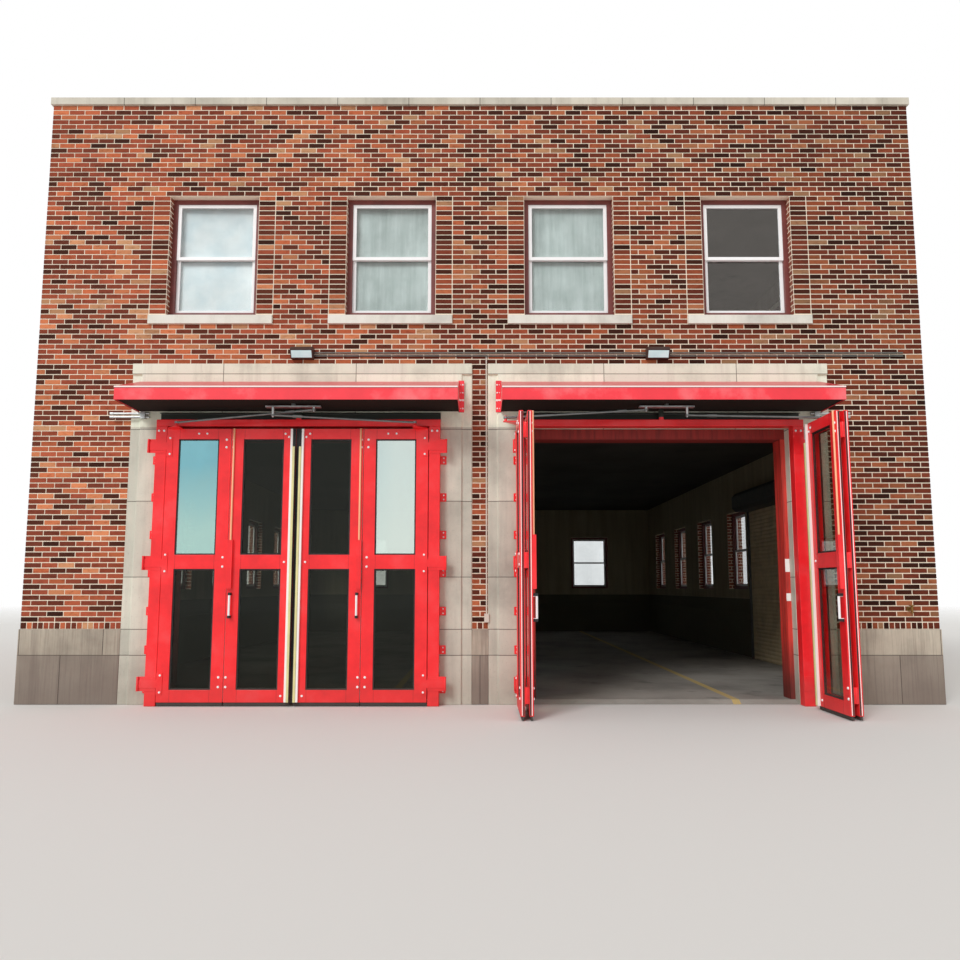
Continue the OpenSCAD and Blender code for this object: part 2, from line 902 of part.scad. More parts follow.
module door_seals() {
    color("black")
        leaf_pairs() {
            jamb_leaf_frame() leaf_sweep(jamb_leaf_x);
            lead_leaf_frame() {
                leaf_sweep(lead_leaf_x);
                block([lead_leaf_x + leaf_w, pivot_r + (leaf_t - seal_t) / 2, leaf_bottom],
                    [lead_leaf_x + leaf_w + seal_w - seal_fit, pivot_r + (leaf_t + seal_t) / 2, leaf_top]);
            }
        }
}

// Strap hinge: a plate on the face of the post holds the barrel beyond the post,
// and a strap runs from the barrel across the post to a tall pad on the leaf
module post_hinge() {
    translate([0, 0, -hinge_h / 2])
        cylinder(h = hinge_h, r = pivot_r - pivot_fit);
    block([-pivot_r / 2, 0, -hinge_h / 2], [pivot_r / 2, post_y, hinge_h / 2]);
    block([0, post_y - hinge_plate, -hinge_h / 2], [bay_edge_x, post_y, hinge_h / 2]);
    jamb_leaf_frame() {
        block([0, pivot_r - hinge_plate, -strap_h / 2], [jamb_leaf_x, pivot_r, strap_h / 2]);
        block([jamb_leaf_x, pivot_r - hinge_plate, -pad_h / 2], [jamb_leaf_x + pad_w, pivot_r, pad_h / 2]);
    }
}

// Fold hinge on the inner faces: each flap is as deep as half the folded gap
module fold_hinge() {
    jamb_leaf_frame() {
        translate([fold_x, fold_y, -hinge_h / 2])
            cylinder(h = hinge_h, r = fold_off / 2);
        block([fold_x - fold_flap, pivot_r + leaf_t, -hinge_h / 2], [fold_x, fold_y, hinge_h / 2]);
    }
    lead_leaf_frame()
        block([fold_x, pivot_r + leaf_t, -hinge_h / 2], [fold_x + fold_flap, fold_y, hinge_h / 2]);
}

module door_hinges() {
    color("crimson")
        leaf_pairs()
            for (z = hinge_levels)
                translate([0, 0, z]) {
                    post_hinge();
                    fold_hinge();
                }
}

module door_handles() {
    x = lead_leaf_x + handle_in;
    color("silver")
        leaf_pairs()
            lead_leaf_frame() {
                translate([x, pivot_r - handle_off, handle_z])
                    cylinder(h = handle_len, r = handle_r);
                for (z = [handle_z + 2 * handle_r, handle_z + handle_len - 2 * handle_r])
                    translate([x, pivot_r, z])
                        rotate([90, 0, 0])
                            cylinder(h = handle_off, r = handle_r * 0.8);
            }
}

module lock_rods() {
    color("red")
        leaf_pairs()
            lead_leaf_frame() {
                block([lead_leaf_x, pivot_r - lock_out, lock_z],
                    [lead_leaf_x + lock_w, pivot_r, lock_z + lock_len]);
                translate([lead_leaf_x + lock_w / 2, pivot_r - lock_rod_r, lock_z + lock_len])
                    cylinder(h = leaf_top - lock_z - lock_len, r = lock_rod_r);
            }
}

// Canopies

module canopies() {
    length = canopy_outer + canopy_inner;
    back_z = soffit_z + fascia_h + canopy_rise;
    color("red")
        on_bays()
            translate([-canopy_outer, 0, 0])
                rotate([90, 0, 90]) {
                    linear_extrude(length)
                        polygon([[-stone_out, soffit_z], [-canopy_d + sheet_t, soffit_z],
                            [-canopy_d + sheet_t, soffit_z - fascia_lip],
                            [-canopy_d, soffit_z - fascia_lip],
                            [-canopy_d, soffit_z + fascia_h - 2 * sheet_t],
                            [-canopy_d - sheet_t, soffit_z + fascia_h - 2 * sheet_t],
                            [-canopy_d - sheet_t, soffit_z + fascia_h],
                            [-canopy_d, soffit_z + fascia_h],
                            [-stone_out, back_z]]);
                    for (x = [0, length - sheet_t])
                        translate([0, 0, x])
                            linear_extrude(sheet_t)
                                polygon([[-stone_out, soffit_z - fascia_lip],
                                    [-canopy_d, soffit_z - fascia_lip],
                                    [-canopy_d, soffit_z + fascia_h], [-stone_out, back_z]]);
                    block([-stone_out - sheet_t, soffit_z - fascia_lip, length - sheet_t],
                        [-stone_out, back_z + flange_up, length + flange_w]);
                }
}

// Door drive: a crank under each canopy turns half round while its leaves fold,
// so that the rods keep one length when the doors are shut and when they are folded

// Middle of the bay and turn of its crank
module at_cranks() {
    on_front()
        for (side = [-1, 1])
            translate([side * bay_x, -crank_out, 0]) {
                $fold = side < 0 ? left_fold : right_fold;
                rotate(2 * $fold)
                    children();
            }
}

// Pin with a collar from the level of its carrier to the eye that it holds
module eye_pin(from_z, eye_z) {
    toward = sign(eye_z - from_z);
    collar_end = eye_z - toward * (eye_h / 2 + pin_fit);
    tip = eye_z + toward * eye_h;
    translate([0, 0, min(from_z, collar_end)])
        cylinder(h = abs(collar_end - from_z), r = collar_r);
    translate([0, 0, min(from_z, tip)])
        cylinder(h = abs(tip - from_z), r = rod_pin_r);
}

module drive_cranks() {
    color("silver")
        at_cranks() {
            translate([0, 0, crank_low])
                cylinder(h = soffit_z - crank_low, r = shaft_r);
            block([-crank_r - crank_end, -crank_w / 2, crank_low],
                [crank_r + crank_end, crank_w / 2, crank_top]);
            translate([crank_r, 0, 0])
                eye_pin(crank_low, upper_eye_z);
            translate([-crank_r, 0, 0])
                eye_pin(crank_low, lower_eye_z);
        }
}

// Lever pin of a leaf pair, and the crank pin that its rod comes from, in the frame of the pair
function lever_pin(fold) = [lever_x * cos(fold) - lever_reach * sin(fold),
    -lever_x * sin(fold) - lever_reach * cos(fold)];
function crank_pin(fold, turn) = [pivot_x + crank_r * cos(2 * fold),
    pivot_out - crank_out + turn * crank_r * sin(2 * fold)];

module drive_rods() {
    color("silver")
        leaf_pairs() {
            near = lever_pin($fold);
            far = crank_pin($fold, $hand > 0 ? -1 : 1);
            far_z = $hand > 0 ? lower_eye_z : upper_eye_z;
            run = norm(far - near);
            slope = atan2(far_z - lever_eye_z, run);
            translate([near[0], near[1], lever_eye_z])
                rotate([0, 0, atan2(far[1] - near[1], far[0] - near[0])])
                    drive_rod(run, far_z - lever_eye_z, slope);
        }
}

// One rod along X with an eye at each end and an adjusting sleeve
module drive_rod(run, rise, slope) {
    difference() {
        union() {
            rotate([0, 90 - slope, 0]) {
                cylinder(h = run / cos(slope), r = rod_r);
                translate([0, 0, run - sleeve_in - sleeve_len])
                    cylinder(h = sleeve_len, r = sleeve_r, $fn = 6);
            }
            for (end = [0, 1])
                translate([end * run, 0, end * rise - eye_h / 2])
                    cylinder(h = eye_h, r = eye_r);
        }
        for (end = [0, 1])
            translate([end * run, 0, end * rise - eye_h / 2 - over])
                cylinder(h = eye_h + 2 * over, r = rod_pin_r + pin_fit);
    }
}

// Lever on top of the jamb leaf: a foot along the leaf that narrows to an arm out to the rod's pin
module drive_levers() {
    color("red")
        leaf_pairs()
            jamb_leaf_frame() {
                translate([0, 0, leaf_top])
                    linear_extrude(lever_t)
                        polygon([[jamb_leaf_x, pivot_r + leaf_t], [jamb_leaf_x, pivot_r],
                            [lever_x - lever_w / 2, -lever_reach], [lever_x + lever_w / 2, -lever_reach],
                            [lever_x + lever_w / 2, pivot_r + leaf_t]]);
                translate([lever_x, -lever_reach, leaf_top])
                    cylinder(h = lever_t, r = lever_w / 2);
                translate([lever_x, -lever_reach, 0])
                    eye_pin(lever_top, lever_eye_z);
            }
}

// Wall fittings

light_z = surround_top + light_gap;

module wall_lights() {
    color("saddlebrown")
        on_bays()
            translate([-light_w / 2, 0, light_z])
                rotate([90, 0, 90])
                    linear_extrude(light_w)
                        polygon([[0, 0], [0, light_h], [-light_d * 0.75, light_h],
                            [-light_d, light_h * 0.75], [-light_d * 0.55, 0]]);
}

// Lens on the sloping underside of a floodlight
module light_lenses() {
    slope = atan2(light_h * 0.75, light_d * 0.45);
    color("white")
        on_bays()
            translate([0, -light_d * 0.55, light_z])
                rotate([180 - slope, 0, 0])
                    block([-light_w / 2 + lens_in, light_h * 0.08, 0],
                        [light_w / 2 - lens_in, light_h * 0.72, lens_t]);
}

// Conduits from one floodlight to the other and on to the right corner,
// and one down the pier to a box above its base
module light_conduits() {
    runs = [[-bay_x + light_w / 2, bay_x - light_w / 2], [bay_x + light_w / 2, plan_w / 2 - conduit_end]];
    run_z = light_z + light_h / 3;
    drop_z = course_z(0);
    color("dimgray")
        on_front() {
            for (run = runs, i = [0, 1])
                translate([run[0], -conduit_off - conduit_r, run_z + i * conduit_pitch])
                    rotate([0, 90, 0])
                        cylinder(h = run[1] - run[0], r = conduit_r);
            translate([drop_x, -conduit_off - conduit_r, drop_z])
                cylinder(h = run_z - drop_z, r = conduit_r);
            block([drop_x - drop_box_w / 2, -drop_box_d, drop_z],
                [drop_x + drop_box_w / 2, 0, drop_z + drop_box_h]);
        }
}

// Twin tubes on a wall bracket at the outer end of each canopy
module side_tubes() {
    color("silver")
        on_bays()
            translate([side_tube_under - canopy_outer - side_tube_len, 0, soffit_z - side_tube_drop]) {
                for (i = [-1, 1])
                    translate([0, -side_tube_out, i * side_tube_r * 1.6])
                        rotate([0, 90, 0]) {
                            cylinder(h = side_tube_len, r = side_tube_r);
                            cylinder(h = tube_cap, r = tube_cap_r);
                        }
                block([side_tube_len - tube_bracket_in - tube_bracket_w,
                    -side_tube_out - 2 * side_tube_r, -3 * side_tube_r],
                    [side_tube_len - tube_bracket_in, -stone_out, 3 * side_tube_r]);
            }
}

module hose_tap() {
    color("gray")
        on_front()
            translate([plan_w / 2 - tap_in, 0, tap_z]) {
                rotate([90, 0, 0])
                    cylinder(h = tap_out, r = tap_r * 0.8);
                rotate([90, 0, 0])
                    cylinder(h = tap_r / 2, r = tap_r * 2);
                translate([0, -tap_out, -tap_spout])
                    cylinder(h = tap_spout + tap_stem, r = tap_r);
                translate([0, -tap_out, tap_stem])
                    cylinder(h = tap_r * 0.75, r = tap_wheel_r);
            }
}

ground_floor();
upper_floor();
roof_slab();
base_front();
base_sides();
base_rear();
front_wall_ends();
front_pier();
front_wall_upper();
left_wall();
right_wall();
rear_wall();
coping_front_rear();
coping_sides();
surround_jambs();
surround_heads();
timber_jambs();
timber_lintels();
window_sills();
window_frames();
upper_sashes();
lower_sashes();
window_glass();
window_blinds();
roller_shutter();
shutter_guides();
shutter_hood();
door_posts();
door_headers();
jamb_leaves();
lead_leaves();
door_glass();
door_seals();
door_hinges();
door_handles();
lock_rods();
canopies();
drive_cranks();
drive_rods();
drive_levers();
wall_lights();
light_lenses();
light_conduits();
side_tubes();
hose_tap();
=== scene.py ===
"""Finishes the two-bay fire station: brickwork, limestone, folding doors, canopies, windows and fittings."""

import math
import random

import bmesh
import bpy
from bpy.props import FloatProperty, FloatVectorProperty, PointerProperty
from mathutils import Matrix, Vector


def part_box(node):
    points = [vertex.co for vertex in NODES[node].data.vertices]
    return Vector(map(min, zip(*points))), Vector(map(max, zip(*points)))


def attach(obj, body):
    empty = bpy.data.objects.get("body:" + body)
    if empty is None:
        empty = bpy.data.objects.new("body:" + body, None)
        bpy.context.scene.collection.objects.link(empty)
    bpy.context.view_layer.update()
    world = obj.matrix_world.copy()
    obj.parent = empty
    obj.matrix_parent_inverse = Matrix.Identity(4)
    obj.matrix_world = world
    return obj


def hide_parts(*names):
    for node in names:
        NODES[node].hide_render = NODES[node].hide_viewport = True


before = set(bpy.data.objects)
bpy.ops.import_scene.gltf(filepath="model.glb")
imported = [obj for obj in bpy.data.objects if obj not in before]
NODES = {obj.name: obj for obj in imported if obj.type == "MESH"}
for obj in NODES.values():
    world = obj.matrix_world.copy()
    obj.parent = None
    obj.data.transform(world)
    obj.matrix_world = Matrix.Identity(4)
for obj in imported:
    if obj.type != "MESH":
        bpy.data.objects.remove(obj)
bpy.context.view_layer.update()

bl_info = {
    "name": "Two-bay fire station",
    "version": (1, 0, 0),
    "blender": (4, 5, 0),
    "location": "3D View > Sidebar > Station",
    "description": "Finishes the brickwork, stone, folding doors and fittings of a two-bay fire station",
    "category": "Add Mesh",
}

# Bricks: in the front's width, from its middle to a bay's middle, and in the shutter's width
FRONT_BRICKS = 55
BAY_BRICKS = 11
SHUTTER_BRICKS = 13
# Courses: above and below the surrounds' top, beside a window and beside the shutter
UPPER_COURSES = 53
LOWER_COURSES = 49
WINDOW_COURSES = 26
SHUTTER_COURSES = 28

# Walls. FRONT and SIDE reach from the middle of the plan to the brick faces
WALL_LOW, WALL_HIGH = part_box("front_wall_upper")
FRONT = -WALL_LOW.y
SIDE = WALL_HIGH.x
WALL_T = WALL_HIGH.y - WALL_LOW.y
BASE_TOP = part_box("base_front")[1].z
SURROUND_TOP = WALL_LOW.z
WALL_TOP = WALL_HIGH.z
ROOM_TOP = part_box("roof_slab")[1].z - 0.01
DADO_TOP = 1.25
BRICK = 2 * SIDE / FRONT_BRICKS
COURSE = (WALL_TOP - SURROUND_TOP) / UPPER_COURSES
FIRST_COURSE = SURROUND_TOP - LOWER_COURSES * COURSE
BAY_X = BAY_BRICKS * BRICK
# Lines on the hall floor, and half their width
LANES = (BAY_X + 0.92, 1.20 - BAY_X)
LANE_HALF = 0.05
# Each wall's turn in degrees and its reach
WALLS = {"front": (0, FRONT), "rear": (180, FRONT), "left": (-90, SIDE), "right": (90, SIDE)}
HALF_WIDTHS = {"front": SIDE, "rear": SIDE, "left": FRONT, "right": FRONT}
# The building's corners at the left and right end of each wall
CORNERS = {"front": (0, 1), "right": (1, 2), "rear": (2, 3), "left": (3, 0)}
# What counts as one place and as one point, and how far finishes reach past a face
EDGE = 1e-4
POINT = 1e-5
BEHIND_FACE = 0.002
BEHIND_PLASTER = 0.004

# Laid bricks: the narrowest cut one, how far a face lies in or out, the slope of its worn edge,
# and the step between the seeds of two corners
SLIVER = 0.055
LIFT = 0.0012
ARRIS_SLOPE = 0.6
CORNER_SEED = 1000

# Stone
STONE_OUT = 0.040
STONE_JOINT = 0.010
JOINT_DEPTH = 0.005
BASE_JOINT = 0.62
BASE_STONE = 5 * BRICK
JAMB_JOINTS = (BASE_JOINT, 0.95, 1.62, 2.61, 3.57)
HEAD_JOINTS = (-0.72, 1.05)
HEAD_LINE = 0.142
BLOCK_ARRIS = 0.004
CUT_ARRIS = 0.003
# Base stones run along both axes, with this many on each side of the middle
BASE_RUNS = ((0, 6), (1, 8))
# Copings: piece, node, axis they run along, length of a stone, joints on each side of the middle
COPINGS = (("coping_front_rear_stones", "coping_front_rear", 0, 0.99, 5),
           ("coping_side_stones", "coping_sides", 1, 1.08, 7))
# Stones of one course that lie this far apart on X and Y have tones of their own
TONE_CELL = (3, 6)

# Folding doors, in the frame of one leaf pair
LEAF_GAP = 0.008
LEAF_T = 0.050
PIVOT_R = 0.014
FACE = PIVOT_R
BACK = FACE + LEAF_T
POST = 0.145
POST_Y = PIVOT_R + 0.009
BAY_EDGE = 0.080 + POST
BAY_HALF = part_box("door_headers")[1].x - BAY_X - POST
PIVOT_X = BAY_HALF + BAY_EDGE
PIVOT_OUT = STONE_OUT + POST + POST_Y
SEAL_W = 0.020
LEAF_W = (BAY_HALF - 2 * LEAF_GAP - SEAL_W) / 2
JAMB_X = BAY_EDGE + LEAF_GAP
LEAD_X = JAMB_X + LEAF_W + LEAF_GAP
FOLD_X = JAMB_X + LEAF_W + LEAF_GAP / 2
FOLD_Y = PIVOT_R + LEAF_T + 0.025
LEAF_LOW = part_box("jamb_leaves")[0].z
LEAF_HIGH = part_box("jamb_leaves")[1].z
STILE = 0.168
LIGHTS = ((LEAF_LOW + 0.166, 1.7095), (1.9145, LEAF_HIGH - 0.150))
HINGES = (LEAF_LOW + 0.230, (LEAF_LOW + LEAF_HIGH) / 2, LEAF_HIGH - 0.230)
# How far each bay is folded, in degrees; -1 is the left bay and 1 the right one
FOLDS = {-1: 0, 1: 90}

# Bolts of a leaf: how far they sit in from an edge, their heights and their radius
FOLD_BOLTS = (3.30, 3.40, 1.75, 1.87, 0.24, 0.36)
LEAD_FOLD_IN = 0.026
JAMB_FOLD_IN = 0.058
LEAD_EDGE_IN = 0.115
LEAD_BOLTS = ((-0.025, LIGHTS[1][1] + 0.083), (0.022, LIGHTS[1][1] + 0.041), (0, 1.81), (0, 0.13))
LEAD_BOLT_R = 0.016
RAIL_BOLTS = (-0.004, 0.104)
RAIL_BOLT_Z = LEAF_HIGH - 0.065
HINGE_BOLTS = (-0.105, 0.105)
HINGE_BOLT_IN = 0.045
HINGE_BOLT_R = 0.015
HINGE_T = 0.008

# Seams of painted shade, caps of the handles, and the film's reach below the upper pane
SEAM_HALF = 0.001
SEAM_OUT = 0.0005
HANDLE_END = 0.030
HANDLE_CAP = 0.0015
FILM_LAP = 0.03

# Strips on the edge that a leaf folds at: piece, and depths behind the face
FOLD_STRIPS = (("glass_gaskets", 0.029, 0.045), ("fold_edge_lines", 0.015, 0.023))
FOLD_STRIP_T = 0.002
FOLD_STRIP_END = 0.01
# Strips beside a leading edge: piece, start and stop from the edge, foot, top, and rise from the face
WHITE_RISE = 0.032
YELLOW_RISE = 0.040
TOP, NOTCH, FOOT = LEAF_HIGH - 0.004, LEAF_HIGH - 0.240, LEAF_LOW + 0.004
LEAD_STRIPS = (
    ("white_edge_strips", 0.067, 0.0375, FOOT, TOP, WHITE_RISE),
    ("yellow_edge_strips", 0.037, 0.007, FOOT, NOTCH, YELLOW_RISE),
    ("glass_gaskets", 0.037, 0.001, NOTCH + 0.002, TOP, 0.009),
    ("glass_gaskets", 0.0065, 0.0005, FOOT, NOTCH, YELLOW_RISE - 0.003),
)
STRIP_ARRIS = 0.004
# Gaskets of a pane: how far they lap the edge of its opening, their width and their two depths
GASKETS = ((0.0119, 0.017, FACE + 0.0181, FACE + 0.011),
           (-0.0001, 0.010, BACK - 0.0025, BACK - 0.0178))
# Each piece's finish and slot
LEAF_PARTS = {
    "leaf_bolts": ("bolt", "bright_steel"),
    "leaf_seam_shadows": ("seam", "seal_rubber"),
    "glass_gaskets": ("rubber", "seal_rubber"),
    "fold_edge_lines": ("white_strip", "white_paint"),
    "white_edge_strips": ("white_strip", "white_paint"),
    "yellow_edge_strips": ("yellow_strip", "white_paint"),
}

# Posts: tabs on each post, with the lowest's height and the highest's drop, and bolts
TABS = 7
TAB_LOW = 0.2
TAB_DROP = 0.43
TAB_T = 0.010
TAB_X = 0.036
TAB_BOLTS = (-0.028, 0.028)
TAB_BOLT_R = 0.011
POST_BOLTS = (-0.034, 0.034)
POST_BOLT_DROP = 0.06
POST_BOLT_R = 0.016
# White plates: which timber jamb, foot and top
JAMB_PLATES = ((0, 1.27, 1.46), (-1, 1.31, 1.41), (-1, 1.69, 1.86))
PLATE_W = 0.058
PLATE_T = 0.003
PLATE_IN = 0.004

# Canopies: underside, lip with a painted highlight and slope, and the bolts' places and radii
SOFFIT = 3.81
CANOPY_HIGHLIGHT_BAND = (SOFFIT + 0.139, SOFFIT + 0.1615)
CANOPY_SLOPE = SOFFIT + 0.165
CANOPY_BOLTS = ((2.146, 0.013), (2.117, 0.008))
CANOPY_BOLT_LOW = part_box("canopies")[0].z + 0.05
CANOPY_BOLT_PITCH = 0.107

# Heights at which the paint of the headers and pier conduit changes, and above which the lock rods are pale
# with a painted highlight
HEADER_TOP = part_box("door_headers")[1].z - 0.108
ROD_GLINT_FOOT = 2.09
PIER_DROP = 4.55
# Stretches of X over which painted shade darkens the front's bricks, the blinds go greyer and the film pales
# with a painted reflection
PAINTED_SHADE_X = (-4.6, 5.0)
BLIND_X = (-3.2, -2.4)
FILM_GLARE_X = (-2.9, -1.1)
# Stretch of Y over which the painted shade reaches the front, and of Z over which the film's painted sky
# reflection pales downwards
PAINTED_SHADE_Y = (2.5 - FRONT, 0.3 - FRONT)
FILM_SKY_Z = (3.6, 2.6)

# Picture
CAMERA_SHIFT = 0.02
CAMERA_REACH = 400
SUN_FROM = (-0.42, -0.71, 0.57)
SUN_ANGLE = 20
FLOOR_RADIUS = 60
FLOOR_DROP = 0.002
FLOOR_FADE = (22.0, 58.0)


def rgba(colour):
    """The linear colour of a hex code; a colour that is one already stays."""
    if not isinstance(colour, str):
        return tuple(colour)
    values = [int(colour[i:i + 2], 16) / 255 for i in (1, 3, 5)]
    return tuple(v / 12.92 if v <= 0.04045 else ((v + 0.055) / 1.055) ** 2.4 for v in values) + (1.0,)


def colour_setting(name, description, code):
    return FloatVectorProperty(name=name, description=description, subtype="COLOR", size=4,
                               min=0, max=1, default=rgba(code))


def length_setting(name, description, value, low, high):
    return FloatProperty(name=name, description=description, subtype="DISTANCE", unit="LENGTH",
                         default=value, min=low, max=high)


class StationBrickwork(bpy.types.PropertyGroup):
    """Sizes and colours of the brickwork"""
    joint: length_setting("Joint", "Width of the mortar joints", 0.0135, 0.006, 0.02)
    proud: length_setting("Proud", "How far a brick stands out of its mortar", 0.005, 0.002, 0.007)
    arris: length_setting("Arris", "Width of the worn edge of a brick", 0.0025, 0.001, 0.004)
    rowlock: length_setting("Brick on edge", "Width of a brick set on edge", 0.07197, 0.05, 0.1)
    mortar: colour_setting("Mortar", "Colour of the mortar", "#FFF1DA")


class StationColours(bpy.types.PropertyGroup):
    """Colours of the finishes"""
    door_red: colour_setting("Door red", "Enamel of the folding doors", "#FF2A30")
    canopy_red: colour_setting("Canopy red", "Faded enamel of the canopies", "#FF3F4B")
    timber_red: colour_setting("Timber red", "Old paint of the timber frames", "#D23A30")
    maroon: colour_setting("Maroon", "Paint of the window frames", "#7C3A35")
    stone: colour_setting("Limestone", "Middle tone of the limestone", "#D2CFC0")
    # The heads' pale tone is partly rain-washed stone and partly painted sunlight, as they rise above the
    # canopies' shade
    stone_washed_sunlit: colour_setting("Pale limestone", "Heads and sills that the rain keeps clean", "#EEF0DC")
    stone_dark: colour_setting("Dark limestone", "Grime on the foot of the stone", "#6B5D52")
    glass: colour_setting("Door glass", "Tint of the door glass", "#A9ACA2")
    # The film's colour stands for a painted reflection of the sky
    film: colour_setting("Glass film", "Mirror film on the upper outer panes", "#93CFDA")
    tape_yellow: colour_setting("Yellow strip", "Strips on the leading edges", "#E8E0A0")


class StationPicture(bpy.types.PropertyGroup):
    """Camera and light"""
    lens: FloatProperty(name="Lens", description="Focal length of the camera", unit="CAMERA",
                        default=29.4, min=10, max=100)
    distance: length_setting("Distance", "From the front wall to the camera", 10.26, 5, 40)
    height: length_setting("Height", "Height of the camera", 1.49, 0.5, 5)
    pitch: FloatProperty(name="Pitch", description="Upward tilt of the camera", subtype="ANGLE",
                         default=math.radians(6.4), min=0, max=math.radians(30))
    daylight: FloatProperty(name="Daylight", description="Strength of the light from all round",
                            default=0.62, min=0, max=2)
    sun: FloatProperty(name="Sun", description="Strength of the soft sun", default=1.5, min=0, max=6)


def settings():
    return bpy.context.scene


# Colours and node trees


def shaded(colour, share):
    """A colour with that share of its light."""
    return [min(1.0, c * share) for c in rgba(colour)[:3]] + [1.0]


def paler(colour, share):
    """A colour moved that share of the way to white."""
    return [c + (1 - c) * share for c in rgba(colour)[:3]] + [1.0]


def grey(value):
    return (value, value, value, 1.0)


class Nodes:
    """The nodes of one tree. A value is a node's output, a plain number or a colour."""

    def __init__(self, tree):
        self.tree = tree

    def add(self, kind, options=None, **inputs):
        """A shader node with its options and inputs set."""
        node = self.tree.nodes.new("ShaderNode" + kind)
        for name, value in (options or {}).items():
            setattr(node, name, value)
        for name, value in inputs.items():
            self.feed(node.inputs[name.replace("_", " ")], value)
        return node

    def feed(self, socket, value):
        if isinstance(value, bpy.types.NodeSocket):
            self.tree.links.new(value, socket)
        else:
            socket.default_value = rgba(value) if socket.type == "RGBA" else value

    def maths(self, operation, *values, clamp=False):
        """What an operation gives for its values."""
        node = self.add("Math", {"operation": operation, "use_clamp": clamp})
        for socket, value in zip(node.inputs, values):
            self.feed(socket, value)
        return node.outputs[0]

    def plus(self, first, second):
        return self.maths("ADD", first, second)

    def times(self, first, second):
        return self.maths("MULTIPLY", first, second)

    def scaled(self, value, factor, start=0.0):
        """A value times a factor, on top of a start."""
        return self.maths("MULTIPLY_ADD", value, factor, start)

    def rest(self, value):
        """What a value leaves of 1."""
        return self.maths("SUBTRACT", 1.0, value)

    def above(self, value, level):
        return self.maths("GREATER_THAN", value, level)

    def below(self, value, level):
        return self.maths("LESS_THAN", value, level)

    def spread(self, value, low, high, most=1.0):
        """A value stretched so that low becomes 0 and high becomes most."""
        node = self.add("MapRange")
        for socket, number in zip(node.inputs, (value, low, high, 0.0, most)):
            self.feed(socket, number)
        return node.outputs[0]

    def blend(self, amount, first, second, mode="MIX"):
        node = self.add("Mix", {"data_type": "RGBA", "blend_type": mode})
        for index, value in ((0, amount), (6, first), (7, second)):
            self.feed(node.inputs[index], value)
        return node.outputs[2]

    def ramp(self, value, *stops):
        """A colour ramp from (position, colour) stops."""
        node = self.add("ValToRGB")
        self.feed(node.inputs[0], value)
        elements = node.color_ramp.elements
        while len(elements) < len(stops):
            elements.new(0.5)
        for element, (position, colour) in zip(elements, stops):
            element.position = position
            element.color = rgba(colour)
        return node.outputs[0]

    def toned(self, colour, value):
        """A colour made lighter or darker by a value."""
        return self.add("HueSaturation", Color=colour, Value=value).outputs[0]

    def attribute(self, name):
        return self.add("Attribute", {"attribute_name": name}).outputs["Fac"]

    def place(self, kind="Object"):
        """X, Y and Z on the object, or of its normals."""
        return self.add("SeparateXYZ", Vector=self.add("TexCoord").outputs[kind]).outputs

    def within(self, x, y):
        """1 where the plan is nearer to its middle than x and y."""
        place = self.place()
        return self.times(self.below(self.maths("ABSOLUTE", place["X"]), x),
                          self.below(self.maths("ABSOLUTE", place["Y"]), y))

    def noise(self, scale, detail=4.0, roughness=0.55, squash=None):
        """Noise on the object; a squash under 1 draws it out upwards."""
        where = self.add("TexCoord").outputs["Object"]
        if squash:
            where = self.add("Mapping", Vector=where, Scale=(1, 1, squash)).outputs[0]
        return self.add("TexNoise", Vector=where, Scale=scale, Detail=detail, Roughness=roughness).outputs[0]

    def group(self, name, **inputs):
        return self.add("Group", {"node_tree": bpy.data.node_groups[name]}, **inputs).outputs

    def weathering(self, clouds, streaks, grain, foot):
        """Mottle, Streaks, Grain and Foot, from the scales of their patterns and the height of the foot."""
        return self.group("weathering", Cloud_Size=clouds, Streak_Width=streaks, Grain=grain,
                          Foot_Height=foot)

    def plastered(self, colour):
        """The colour outside, and plaster where the wall faces the room."""
        room = self.group("room")
        return self.blend(room["Inside"], colour, room["Plaster"])


class Finish(Nodes):
    """A new material and its shader."""

    def __init__(self, name, roughness, metallic=0.0, **constants):
        self.material = bpy.data.materials.new(name)
        self.material.use_nodes = True
        super().__init__(self.material.node_tree)
        self.shader = self.tree.nodes["Principled BSDF"]
        self.set(Roughness=roughness, Metallic=metallic, **constants)

    def set(self, **inputs):
        for name, value in inputs.items():
            self.feed(self.shader.inputs[name.replace("_", " ")], value)

    def done(self, colour, height, distance, strength):
        """Gives the shader its colour and relief, and returns the material."""
        relief = self.add("Bump", Height=height, Distance=distance, Strength=strength)
        self.set(Base_Color=colour, Normal=relief.outputs[0])
        return self.material


def new_group(name, inputs, outputs):
    """An empty node group: its nodes, what it is given and what it puts out."""
    tree = bpy.data.node_groups.new(name, "ShaderNodeTree")
    for socket, value in inputs.items():
        made = tree.interface.new_socket(socket, in_out="INPUT", socket_type="NodeSocketFloat")
        made.default_value = value
    for socket, kind in outputs.items():
        tree.interface.new_socket(socket, in_out="OUTPUT", socket_type="NodeSocket" + kind)
    return Nodes(tree), tree.nodes.new("NodeGroupInput").outputs, tree.nodes.new("NodeGroupOutput").inputs


def build_weathering_group():
    """Cloudy mottle, streaks that run down, splash near the ground and fine grain."""
    nodes, given, out = new_group(
        "weathering", {"Cloud Size": 1.5, "Streak Width": 8.0, "Grain": 120.0, "Foot Height": 0.5},
        {"Mottle": "Float", "Streaks": "Float", "Grain": "Float", "Foot": "Float"})
    nodes.feed(out["Mottle"], nodes.noise(given["Cloud Size"], 6, 0.6))
    nodes.feed(out["Streaks"], nodes.noise(given["Streak Width"], 5, 0.6, 0.08))
    nodes.feed(out["Grain"], nodes.noise(given["Grain"], 3, 0.7))
    uneven = nodes.scaled(nodes.noise(3.0), -0.35, nodes.place()["Z"])
    share = nodes.maths("DIVIDE", uneven, given["Foot Height"])
    nodes.feed(out["Foot"], nodes.maths("SUBTRACT", 1.0, share, clamp=True))


